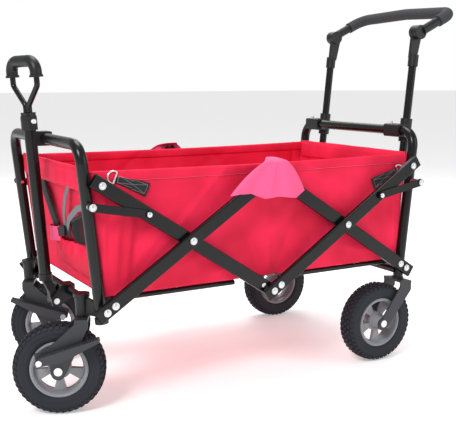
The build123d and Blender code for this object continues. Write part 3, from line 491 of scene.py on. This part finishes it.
def side_relief(x, z, seed):
    """How far a long side's cloth stands out of its plane, metres, x from the middle plane."""
    shift = 1.0 if seed < 2 else -1.0
    out = sum(ridge(x * shift, z, *crease) for crease in SIDE_CREASES)
    for sign in (-1, 1):
        out += 0.0045 * math.exp(-(((x - sign * 0.205) / 0.10) ** 2 + ((z - 0.40) / 0.08) ** 2))
    grain = noise.fractal(Vector((x * 7, z * 9, seed * 3.7)), 0.9, 2.0, 3)
    fine = noise.noise(Vector((x * 26, z * 17, seed * 5.1)))
    edge = min(1.0, max(0.0, (z - 0.257) / 0.03), max(0.0, (0.523 - z) / 0.02))
    total = (1.35 * out + 0.0030 * grain + 0.0009 * fine) * (0.25 + 0.75 * edge)
    return MOST_BULGE * math.tanh(total / MOST_BULGE)


def half_length(z):
    """Half length of the basket's cloth at height z, along X."""
    low, high = 0.3968 - 0.0005, 0.4246 - 0.0005
    return low + (high - low) * (z - 0.257) / 0.266


class WagonPaint(bpy.types.PropertyGroup):
    """Choices for the cloth and the stage."""

    crease: bpy.props.FloatProperty(
        name="Crease depth",
        description="Scales the depth of the cloth's creases",
        default=1.0,
        min=0,
        max=1.5,
    )
    cell: bpy.props.FloatProperty(
        name="Cloth cell", description="Size of one cell of the cloth meshes", default=0.004, unit="LENGTH"
    )
    tread_blocks: bpy.props.IntProperty(
        name="Tread blocks", description="Blocks around one row of a tyre's tread", default=44, min=12, max=90
    )


class WAGON_OT_paint_frame(bpy.types.Operator):
    """Gives every CAD piece the material of its slot"""

    bl_idname = "wagon.paint_frame"
    bl_label = "Paint the frame"

    def execute(self, context):
        MATERIALS.update(build_materials())
        for part in frame["record"]["subparts"]:
            obj = frame["nodes"][part["node"]]
            obj.data.materials.clear()
            obj.data.materials.append(MATERIALS[part["material_slot"]])
        return {"FINISHED"}


class WAGON_OT_rivets(bpy.types.Operator):
    """Domed heads on every rivet and bolt of the frames and bars"""

    bl_idname = "wagon.rivets"
    bl_label = "Rivet heads"

    def execute(self, context):
        groups = (
            ("front_lower_bars", "front_lower_rivets"),
            ("front_cross_bars", "front_cross_rivets"),
            ("rear_lower_bars", "rear_lower_rivets"),
            ("rear_cross_bars", "rear_cross_rivets"),
            ("front_frame", "front_pivot_pins"),
            ("rear_frame", "rear_pivot_pins"),
            ("front_stay_links", "front_stay_links"),
            ("rear_stay_links", "rear_stay_links"),
        )
        for body, node in groups:
            places, turns = [], []
            for low, high in islands(node):
                middle = (low + high) / 2
                if abs(middle.y) < 0.1:
                    continue
                side = 1 if middle.y > 0 else -1
                x = middle.x
                z = middle.z
                if node.endswith("links"):
                    x = high.x - 0.009 if middle.x < MID_X else low.x + 0.009
                    z = low.z + 0.009
                y = high.y if side > 0 else low.y
                places.append((x, y, z))
                turns.append((side * -math.pi / 2, 0, 0))
            head = dome("head", 0.0061, 0.0026, "rivet_steel")
            obj = stand_copies(f"{node}_heads", head, places, turns, "rivet_steel")
            obj.data.shade_smooth()
            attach(obj, body)
        return {"FINISHED"}


class WAGON_OT_sides(bpy.types.Operator):
    """The two long sides of the basket with their hems and stitching"""

    bl_idname = "wagon.sides"
    bl_label = "Basket sides"

    def execute(self, context):
        settings = context.scene.wagon_paint
        sides = []
        for name, side, seed in (("near", -1, 1), ("far", 1, 2)):
            y0 = side * 0.2305

            def place(u, v, side=side, seed=seed, y0=y0):
                z = 0.2575 + v * 0.2655
                x = (2 * u - 1) * half_length(z)
                sag = 0.0
                if v > 0.85:
                    sag = -0.004 * (v - 0.85) / 0.15 * (1 - (2 * u - 1) ** 2)
                out = side_relief(x, z, seed) * settings.crease
                return Vector((MID_X + x, y0 + side * out, z + sag))

            columns = round(2 * half_length(0.4) / settings.cell)
            rows = round(0.2655 / settings.cell)
            cloth = surface(f"side_cloth_{name}", columns, rows, place, "canvas_red")

            def hem(u, v, side=side, seed=seed, y0=y0, place=place):
                base = place(u, 0.915 + v * 0.087)
                swell = math.sin(math.pi * v) ** 0.5 * 0.0022
                return base + Vector((0, side * (0.0014 + swell), 0))

            def hem_inside(u, v, side=side, place=place):
                base = place(u, 0.915 + v * 0.087)
                swell = math.sin(math.pi * v) ** 0.5 * 0.0022
                return base + Vector((0, -side * (0.0014 + swell), 0))

            outer = surface(f"hem_outer_{name}", 200, 8, hem, "canvas_red")
            inner = surface(f"hem_inner_{name}", 200, 8, hem_inside, "canvas_red")
            hem_obj = join(f"side_hem_{name}", [outer, inner])
            stitch_places, stitch_turns = [], []
            for i in range(SIDE_STITCHES):
                p = place((i + 0.5) / SIDE_STITCHES, STITCH_ROW) + Vector((0, side * 0.0026, 0))
                stitch_places.append(p)
                stitch_turns.append((0, 0, 0))
            stitch = box_mesh(
                "stitch", (-0.0018, -0.0004, -0.0004), (0.0018, 0.0004, 0.0004), "thread_red", 0.0002
            )
            stitches = stand_copies(
                f"side_stitches_{name}", stitch, stitch_places, stitch_turns, "thread_red"
            )
            if name == "near":
                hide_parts("basket_sides")
            for obj in (cloth, hem_obj, stitches):
                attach(obj, "basket")
                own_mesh(obj)
            sides.append(cloth)
        return {"FINISHED"}


class WAGON_OT_floor_and_ends(bpy.types.Operator):
    """The basket's floor and its two end walls"""

    bl_idname = "wagon.floor_and_ends"
    bl_label = "Floor and end walls"

    def execute(self, context):
        settings = context.scene.wagon_paint

        def floor(u, v):
            x = (2 * u - 1) * 0.3935
            y = (2 * v - 1) * 0.2275
            sag = 0.0018 * noise.noise(Vector((x * 9, y * 9, 4.2)))
            fold = 0.002 * math.exp(-((x / 0.012) ** 2))
            return Vector((MID_X + x, y, 0.2600 + sag - fold))

        cloth = surface("floor_cloth", 160, 90, floor, "canvas_red", 0.0022)
        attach(cloth, "basket")
        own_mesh(cloth)
        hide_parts("basket_floor")
        for body, sign in (("front_frame", -1), ("rear_frame", 1)):
            label = body.split("_")[0]

            def wall(u, v, sign=sign):
                y = (2 * u - 1) * 0.2285
                z = 0.2575 + v * 0.2655
                out = 0.003 * noise.fractal(Vector((y * 8, z * 7, 9 + sign)), 0.9, 2.0, 3)
                for k in (-1, 1):
                    out += ridge(y, z, (k * 0.215, 0.27), (k * 0.05, 0.43), 0.02, 0.004)
                    out += ridge(y, z, (k * 0.19, 0.30), (k * 0.185, 0.50), 0.012, 0.003)
                out *= settings.crease * min(1.0, 6 * min(v, 1 - v) + 0.1)
                out = max(-0.006, min(0.0008, out - 0.0015))
                x = sign * (half_length(z) - 0.0012) + sign * out
                return Vector((MID_X + x, y, z))

            panel = surface(f"{label}_wall_cloth", 110, 64, wall, "canvas_red")

            # Section of the folded cuff: millimetres inboard, height above the ground.
            section = (
                (0.5, 0.480), (4.5, 0.484), (6.0, 0.500), (5.0, 0.517), (2.0, 0.5265), (-2.5, 0.5268),
                (-6.0, 0.520), (-8.0, 0.500), (-9.5, 0.484), (-7.0, 0.477), (-1.5, 0.475),
            )
            steps = [k / (len(section) - 1) for k in range(len(section))]

            def cuff(u, v, sign=sign):
                y = (2 * u - 1) * 0.2280
                inboard = float(np.interp(v, steps, [p[0] for p in section])) / 1000
                z = float(np.interp(v, steps, [p[1] for p in section]))
                ends = min(1.0, max(0.0, (0.2290 - abs(y)) / 0.022)) ** 0.6
                sag = 0.002 * noise.noise(Vector((y * 14, z * 20, 3.0 + sign)))
                pucker = 0.0012 * math.exp(-abs(y - 0.06) / 0.006) + 0.0012 * math.exp(-abs(y + 0.1) / 0.008)
                inboard *= 0.12 + 0.88 * ends
                x = sign * (half_length(z) - 0.0014 - inboard + (sag - pucker) * ends)
                return Vector((MID_X + x, y, z + sag * 0.5))

            hem = surface(f"{label}_wall_cuff", 110, 40, cuff, "canvas_red")
            for obj in (panel, hem):
                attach(obj, body)
            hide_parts(f"basket_{label}_wall")
        return {"FINISHED"}


class WAGON_OT_apex_covers(bpy.types.Operator):
    """Loose cloth covers over the top pivots of the scissor bars"""

    bl_idname = "wagon.apex_covers"
    bl_label = "Apex covers"

    def execute(self, context):
        # Lower edge of the near cover: share of its half width, height above the ground.
        edge_s = (-1.0, -0.8, -0.46, -0.13, 0.26, 0.73, 1.0)
        edge_z = (0.457, 0.4605, 0.459, 0.446, 0.448, 0.442, 0.457)
        top, base = 0.5345, 0.455
        for name, side in (("near", -1), ("far", 1)):
            def cover(u, v, side=side):
                s = 2 * u - 1
                low = float(np.interp(s * -side, edge_s, edge_z))
                x = 0.003 - 0.0225 * v + s * (0.008 + 0.092 * v ** 0.8)
                z = top + (low - top) * v ** 1.35
                out = 0.0495 * min(1.0, (v + 0.02) / 0.2) ** 0.55
                wave = 0.0030 * v * math.cos(s * 9.5 + 0.8) + 0.0022 * math.sin(s * 5) * v * v
                fall = 0.0016 * math.exp(-abs(s) / 0.05) + 0.0016 * math.exp(-abs(s - 0.45) / 0.05)
                y = side * (0.2325 + out + (wave + fall) * min(1.0, v * 3))
                if abs(s) > 0.9:
                    y -= side * (abs(s) - 0.9) * 0.03
                return Vector((MID_X + x, y, z))

            # The cover's cloth takes the lighter canvas copy, whose extra light is painted into its colour.
            cloth = surface(f"apex_cover_{name}", 60, 34, cover, "canvas_painted_light")
            places, turns = [], []
            for s in (0.06, 0.94):
                for i in range(26):
                    v = 0.1 + 0.86 * i / 25
                    places.append(cover(s, v) + Vector((0, side * 0.0012, 0)))
                    slope = math.atan2(-(top - base), (0.088 if s > 0.5 else -0.088))
                    turns.append((0, -slope, 0))
            thread = box_mesh(
                "stitch", (-0.0014, -0.0004, -0.0004), (0.0014, 0.0004, 0.0004), "thread_red", 0.0002
            )
            stitches = stand_copies(f"apex_stitches_{name}", thread, places, turns, "thread_red")
            for obj in (cloth, stitches):
                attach(obj, "apex_covers")
                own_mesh(obj)
            if name == "near":
                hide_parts("apex_covers")
        return {"FINISHED"}


class WAGON_OT_patches(bpy.types.Operator):
    """Webbing patches with crossed stitching, and the D-rings they hold"""

    bl_idname = "wagon.patches"
    bl_label = "Strap patches and D-rings"

    def execute(self, context):
        for node in ("front_strap_patches", "rear_strap_patches"):
            for low, high in islands(node):
                middle = (low + high) / 2
                side = 1 if middle.y > 0 else -1
                sign = 1 if middle.x > MID_X else -1
                tilt = math.radians(22) * sign
                along = Vector((math.cos(tilt), 0, math.sin(tilt)))
                across = Vector((-math.sin(tilt), 0, math.cos(tilt)))
                seed = 1 if side < 0 else 2
                crease = context.scene.wagon_paint.crease

                def on_side(a, b, lift, middle=middle, along=along, across=across, side=side, seed=seed):
                    """A point a along and b across the patch, lifted off the side's cloth."""
                    p = middle + along * a + across * b
                    relief = side_relief(p.x - MID_X, p.z, seed) * crease
                    p.y = side * (0.2305 + relief + lift)
                    return p

                def patch(u, v, sign=sign, on_side=on_side):
                    half = 0.0085 + 0.0065 * (1 - u) if sign > 0 else 0.0085 + 0.0065 * u
                    roll = 0.0012 * math.sin(math.pi * v)
                    return on_side((u - 0.5) * 0.078, (2 * v - 1) * half, 0.0022 + roll)

                lines = (
                    ((-0.034, -0.010), (0.034, -0.010)),
                    ((0.034, -0.010), (0.034, 0.010)),
                    ((0.034, 0.010), (-0.034, 0.010)),
                    ((-0.034, 0.010), (-0.034, -0.010)),
                    ((-0.034, -0.010), (0.034, 0.010)),
                    ((-0.034, 0.010), (0.034, -0.010)),
                )
                places, turns = [], []
                for (a, b), (c, d) in lines:
                    length = math.hypot(c - a, d - b)
                    count = max(3, round(length / 0.0042))
                    angle = math.atan2(d - b, c - a) + tilt
                    for i in range(count):
                        t = (i + 0.5) / count
                        wide = 0.75 if (a + (c - a) * t) * sign > 0 else 1.0
                        places.append(on_side(a + (c - a) * t, (b + (d - b) * t) * wide, 0.0042))
                        turns.append((0, -angle, 0))
                tag = f"{node.split('_')[0]}_{'far' if side > 0 else 'near'}"
                thread = box_mesh(
                    "stitch", (-0.0014, -0.0004, -0.0004), (0.0014, 0.0004, 0.0004), "thread_grey", 0.0002
                )
                stitches = stand_copies(f"patch_stitches_{tag}", thread, places, turns, "thread_grey")
                webbing = surface(f"patch_webbing_{tag}", 30, 12, patch, "webbing_black", 0.002)
                if side < 0:
                    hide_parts(node)
                for obj in (stitches, webbing):
                    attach(obj, "basket")
                    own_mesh(obj)
                ring_at = on_side(sign * 0.046, 0, 0.005)
                ring = []
                for i in range(24):
                    a = 2 * math.pi * i / 24
                    flat_side = max(-0.35, math.cos(a)) * 0.013
                    ring.append(ring_at + along * (sign * flat_side) + across * (math.sin(a) * 0.013))
                ring_obj = tube_along(f"d_ring_{tag}", ring, 0.0019, "webbing_black", closed=True)
                ring_obj.data.materials[0] = MATERIALS["rivet_steel"]
                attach(ring_obj, "basket")
                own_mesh(ring_obj)
        return {"FINISHED"}


class WAGON_OT_front_pocket(bpy.types.Operator):
    """Net pocket, straps, buckle and soft pouch on the front wall"""

    bl_idname = "wagon.front_pocket"
    bl_label = "Front wall pockets"

    def execute(self, context):
        def wall_x(z):
            return MID_X - half_length(z)

        def ribbon(points, width, material, thickness=0.0018):
            """A flat strap through (y, z, lift) points, lift being its distance off the wall."""
            ys, zs, lifts = zip(*points)
            steps = [k / (len(points) - 1) for k in range(len(points))]

            def at(u):
                return tuple(float(np.interp(u, steps, values)) for values in (ys, zs, lifts))

            def place(u, v):
                y, z, lift = at(u)
                y1, z1, _ = at(min(1.0, u + 0.02))
                y0, z0, _ = at(max(0.0, u - 0.02))
                run = math.hypot(y1 - y0, z1 - z0) or 1.0
                off = (v - 0.5) * width
                z += off * (y1 - y0) / run
                return Vector((wall_x(z) - lift, y - off * (z1 - z0) / run, z))

            return surface("strap", 30, 4, place, material, thickness)

        def pouch(u, v):
            y = -0.212 + 0.262 * u
            z = 0.283 + (0.079 - 0.018 * u) * v + 0.010 * (1 - v) * u
            body = math.sin(math.pi * min(1, 1.06 * u + 0.0)) ** 0.5 if 0 < u < 0.94 else 0.0
            puff = body * math.sin(math.pi * (0.04 + 0.82 * v)) ** 0.7
            ruche = 0.0035 * math.sin(u * 47 + 3 * v) * v ** 2 + 0.003 * math.sin(u * 21 - 5 * v) * v
            return Vector((wall_x(z) - 0.0016 - max(0.0, 0.013 * puff + ruche * body), y, z))

        pouch_obj = surface("front_pouch", 110, 44, pouch, "canvas_red")

        corners = [Vector(c) for c in ((-0.090, 0.394), (-0.205, 0.432), (-0.110, 0.358), (-0.205, 0.362))]

        def net(u, v):
            high = corners[0].lerp(corners[1], u)
            low = corners[2].lerp(corners[3], u)
            y, z = low.lerp(high, v)
            puff = (math.sin(math.pi * (0.1 + 0.8 * u)) * math.sin(math.pi * (0.15 + 0.6 * v))) ** 0.7
            return Vector((wall_x(z) - 0.003 - 0.012 * puff, y, z))

        threads = []
        lines = 22
        for i in range(-lines, lines):
            for lean in (-1, 1):
                steps = [k / 16 for k in range(17)]
                path = [(i / lines + (k if lean > 0 else 1 - k) * 0.55, k) for k in steps]
                path = [net(a, b) for a, b in path if 0 <= a <= 1]
                if len(path) > 1:
                    threads.append(tube_along("thread", path, 0.0007, "net_black", 4))
        rim = [net(k / 30, 1.0) - Vector((0.001, 0, 0)) for k in range(31)]
        threads.append(tube_along("rim", rim, 0.0028, "webbing_black", 8, flat=1.6))
        net_obj = join("front_net_pocket", threads)

        straps = [
            ribbon(
                ((-0.104, 0.484, 0.003), (-0.097, 0.455, 0.013), (-0.082, 0.415, 0.016), (-0.068, 0.380, 0.012)),
                0.016, "webbing_grey",
            ),
            ribbon(
                ((-0.204, 0.448, 0.003), (-0.165, 0.438, 0.012), (-0.120, 0.410, 0.018), (-0.088, 0.384, 0.014)),
                0.015, "webbing_grey",
            ),
            ribbon(
                ((0.085, 0.482, 0.003), (0.062, 0.450, 0.007), (0.038, 0.415, 0.007), (0.014, 0.372, 0.005)),
                0.036, "webbing_black",
            ),
            ribbon(
                ((-0.004, 0.362, 0.010), (-0.045, 0.372, 0.015), (-0.080, 0.378, 0.015), (-0.100, 0.372, 0.012)),
                0.020, "webbing_black",
            ),
            box_mesh(
                "buckle",
                (wall_x(0.372) - 0.0215, -0.082, 0.366),
                (wall_x(0.372) - 0.0155, -0.058, 0.388),
                "charcoal_plastic",
            ),
        ]
        strap_obj = join("front_straps", straps)

        def tab_place(u, v):
            curl = math.sin(math.pi * u)
            x = wall_x(0.358) - 0.005 - 0.014 * curl ** 0.5
            return Vector((x, -0.012 + 0.060 * u, 0.342 + 0.034 * v - 0.003 * u))

        # The tab takes the lighter canvas copy, whose extra light is painted into its colour.
        tag = surface("front_red_tab", 20, 10, tab_place, "canvas_painted_light")
        for obj, slot in (
            (pouch_obj, "canvas_red"),
            (net_obj, "webbing_black"),
            (strap_obj, "webbing_black"),
            (tag, "canvas_red"),
        ):
            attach(obj, "front_frame")
        return {"FINISHED"}


class WAGON_OT_tyres(bpy.types.Operator):
    """Tyres with block tread, and hub caps for the rims"""

    bl_idname = "wagon.tyres"
    bl_label = "Tyres and hubs"

    def wheel_frame(self, wheel):
        joint = next(j for j in frame["joints"] if j["name"] == f"{wheel}_roll")
        axle = Vector(joint["axis"]).normalized()
        centre = Vector(joint["pos_m"])
        up = Vector((0, 0, 1))
        return Matrix.Translation(centre) @ Matrix((axle.cross(up), axle, up)).transposed().to_4x4()

    def execute(self, context):
        blocks = context.scene.wagon_paint.tread_blocks
        for wheel in ("front_wheel_near", "front_wheel_far", "rear_wheel_near", "rear_wheel_far"):
            place = self.wheel_frame(wheel)
            node = wheel.replace("wheel", "tyre")
            profile = (
                (-0.019, 0.0625), (-0.0215, 0.066), (-0.0232, 0.0705), (-0.0238, 0.075), (-0.0231, 0.0765),
                (-0.0239, 0.078), (-0.0239, 0.084), (-0.0225, 0.089), (-0.019, 0.0928), (-0.012, 0.0952),
                (0.0, 0.0962), (0.012, 0.0952), (0.019, 0.0928), (0.0225, 0.089), (0.0239, 0.084),
                (0.0239, 0.078), (0.0231, 0.0765), (0.0238, 0.075), (0.0232, 0.0705),
                (0.0215, 0.066), (0.019, 0.0625),
            )
            around = 96
            points, faces = [], []
            for k in range(around):
                a = 2 * math.pi * k / around
                for w, r in profile:
                    points.append(place @ Vector((r * math.cos(a), w, r * math.sin(a))))
            n = len(profile)
            for k in range(around):
                nxt = (k + 1) % around
                for i in range(n):
                    j = (i + 1) % n
                    faces.append((k * n + i, nxt * n + i, nxt * n + j, k * n + j))
            carcass = mesh_object("carcass", points, faces, "tyre_rubber")
            piece = box_mesh(
                "block", (-0.0042, -0.0036, -0.0026), (0.0042, 0.0036, 0.0026), "tyre_rubber", 0.0007
            )
            places, turns = [], []
            rows = ((-0.0205, 0.0912, -50, 0.5), (-0.0125, 0.0956, 20, 0.0), (-0.0042, 0.0966, -20, 0.5),
                    (0.0042, 0.0966, 20, 0.0), (0.0125, 0.0956, -20, 0.5), (0.0205, 0.0912, 50, 0.0))
            for w, r, yaw, phase in rows:
                tilt = 0.0 if abs(w) < 0.02 else math.copysign(0.9, w)
                for k in range(blocks):
                    a = 2 * math.pi * (k + phase) / blocks
                    places.append(place @ Vector((r * math.cos(a), w, r * math.sin(a))))
                    local = (
                        Matrix.Rotation(-(a - math.pi / 2), 4, "Y")
                        @ Matrix.Rotation(-tilt, 4, "X")
                        @ Matrix.Rotation(math.radians(yaw if tilt == 0 else 0), 4, "Z")
                    )
                    turns.append((place.to_3x3().to_4x4() @ local).to_euler())
            tread = stand_copies("tread", piece, places, turns, "tyre_rubber", seed=11)
            tyre = join(f"{wheel}_tyre_tread", [carcass, tread])
            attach(tyre, wheel)
            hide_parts(node)

            details = []
            for side in (-1, 1):
                lip = wheel_circle(place, 0.0585, side * 0.0195, 72)
                details.append(tube_along("lip", lip, 0.0019, "rim_grey", closed=True, sides=8))
                ring = wheel_circle(place, 0.021, side * 0.0075, 48)
                details.append(tube_along("hub_ring", ring, 0.0022, "rim_grey", closed=True, sides=8))
            trim = join(f"{wheel}_rim_trim", details)
            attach(trim, wheel)
        return {"FINISHED"}


class WAGON_OT_fittings(bpy.types.Operator):
    """Ribs on the brake pedals"""

    bl_idname = "wagon.fittings"
    bl_label = "Fittings"

    def execute(self, context):
        for name in ("near", "far"):
            joint = next(j for j in frame["joints"] if j["name"] == f"brake_pedal_{name}_press")
            wheel = next(j for j in frame["joints"] if j["name"] == f"front_wheel_{name}_roll")
            axle = Vector(wheel["axis"]).normalized()
            trail = axle.cross(Vector((0, 0, 1)))
            outer = 1 if name == "near" else -1
            hinge = Vector(joint["pos_m"])
            base = hinge - trail * 0.086 - Vector((0, 0, hinge.z))
            ribs = []
            for i in range(14):
                t = (i + 0.7) / 24
                u, z = -0.038 + 0.126 * t, 0.1763 - 0.039 * t
                ends = [base + trail * u + Vector((0, 0, z)) + axle * (outer * w) for w in (0.039, 0.056)]
                ribs.append(tube_along("rib", ends, 0.0013, "caster_grey", sides=8))
            obj = join(f"brake_pedal_ribs_{name}", ribs)
            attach(obj, f"brake_pedal_{name}")
        return {"FINISHED"}


class WAGON_OT_grip_screws(bpy.types.Operator):
    """Two screws that close the pull grip's halves"""

    bl_idname = "wagon.grip_screws"
    bl_label = "Grip screws"

    def execute(self, context):
        slide = next(j for j in frame["joints"] if j["name"] == "pull_handle_extend")
        up = Vector(slide["axis"]).normalized()
        low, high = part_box("pull_grip")
        middle = (low + high) / 2
        across = Vector((math.sin(math.radians(15)), -math.cos(math.radians(15)), 0))
        across = (across - up * across.dot(up)).normalized()
        face = across.cross(up)
        top = middle + up * ((high.z - 0.013 - middle.z) / up.z)
        places = [top + across * w + face * 0.0128 for w in (-0.034, 0.004)]
        turn = face.to_track_quat("Z", "Y").to_euler()
        head = dome("head", 0.0036, 0.0014, "rivet_steel")
        obj = stand_copies("grip_screws", head, places, [turn] * 2, "rivet_steel")
        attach(obj, "pull_grip")
        return {"FINISHED"}


class WAGON_OT_stage(bpy.types.Operator):
    """Pale floor, soft lights and the camera"""

    bl_idname = "wagon.stage"
    bl_label = "Stage"

    def execute(self, context):
        scene = context.scene
        floor = mesh_object(
            "studio_floor", [(-40, -40, 0), (40, -40, 0), (40, 40, 0), (-40, 40, 0)], [(0, 1, 2, 3)],
            "studio_floor", smooth=False,
        )
        world = scene.world or bpy.data.worlds.new("studio")
        scene.world = world
        world.use_nodes = True
        tree = world.node_tree
        back = tree.nodes["Background"]
        back.inputs["Color"].default_value = (1, 1, 1, 1)
        # The sky lights the wagon softly, and is plain white where it is seen directly.
        seen = tree.nodes.new("ShaderNodeLightPath")
        strength = tree.nodes.new("ShaderNodeMapRange")
        strength.inputs["To Min"].default_value = 0.55
        strength.inputs["To Max"].default_value = 1.0
        tree.links.new(seen.outputs["Is Camera Ray"], strength.inputs["Value"])
        tree.links.new(strength.outputs["Result"], back.inputs["Strength"])
        for name, place, aim, size, power in (
            ("key", (-2.6, -1.9, 2.8), (0, 0, 0.4), 1.1, 95),
            ("fill", (2.2, -2.6, 1.5), (0, 0, 0.4), 2.0, 22),
            ("top", (0.0, 0.5, 3.2), (0, 0, 0.4), 1.6, 55),
            ("back", (1.2, 2.6, 2.4), (0, 0, 0.4), 2.0, 30),
        ):
            lamp = bpy.data.lights.new(name, "AREA")
            lamp.size, lamp.energy = size, power
            obj = bpy.data.objects.new(name, lamp)
            obj.location = place
            obj.rotation_euler = (Vector(aim) - Vector(place)).to_track_quat("-Z", "Y").to_euler()
            scene.collection.objects.link(obj)
        lens = bpy.data.cameras.new("view")
        lens.sensor_width, lens.lens = 36.0, 65.98
        lens.clip_end = 50
        view = bpy.data.objects.new("view", lens)
        view.location = (MID_X - 1.0205, -1.8388, 0.7106)
        azimuth, elevation = math.radians(-29.87), math.radians(9.08)
        forward = Vector(
            (
                -math.sin(azimuth) * math.cos(elevation),
                math.cos(azimuth) * math.cos(elevation),
                -math.sin(elevation),
            )
        )
        view.rotation_euler = forward.to_track_quat("-Z", "Y").to_euler()
        scene.collection.objects.link(view)
        scene.camera = view
        scene.view_settings.view_transform = "Standard"
        return {"FINISHED"}


class WAGON_PT_panel(bpy.types.Panel):
    """Choices and steps of the camp wagon"""

    bl_label = "Camp wagon"
    bl_idname = "WAGON_PT_panel"
    bl_space_type = "VIEW_3D"
    bl_region_type = "UI"
    bl_category = "Camp wagon"

    def draw(self, context):
        settings = context.scene.wagon_paint
        for key in ("crease", "cell", "tread_blocks"):
            self.layout.prop(settings, key)
        for step in STEPS:
            self.layout.operator(step.bl_idname)


STEPS = (
    WAGON_OT_paint_frame,
    WAGON_OT_rivets,
    WAGON_OT_sides,
    WAGON_OT_floor_and_ends,
    WAGON_OT_apex_covers,
    WAGON_OT_patches,
    WAGON_OT_front_pocket,
    WAGON_OT_tyres,
    WAGON_OT_fittings,
    WAGON_OT_grip_screws,
    WAGON_OT_stage,
)
CLASSES = (WagonPaint, *STEPS, WAGON_PT_panel)


def register():
    for cls in CLASSES:
        bpy.utils.register_class(cls)
    bpy.types.Scene.wagon_paint = bpy.props.PointerProperty(type=WagonPaint)


def unregister():
    del bpy.types.Scene.wagon_paint
    for cls in reversed(CLASSES):
        bpy.utils.unregister_class(cls)


def main():
    register()
    for step in STEPS:
        group, name = step.bl_idname.split(".")
        getattr(getattr(bpy.ops, group), name)()


if __name__ == "__main__":
    main()
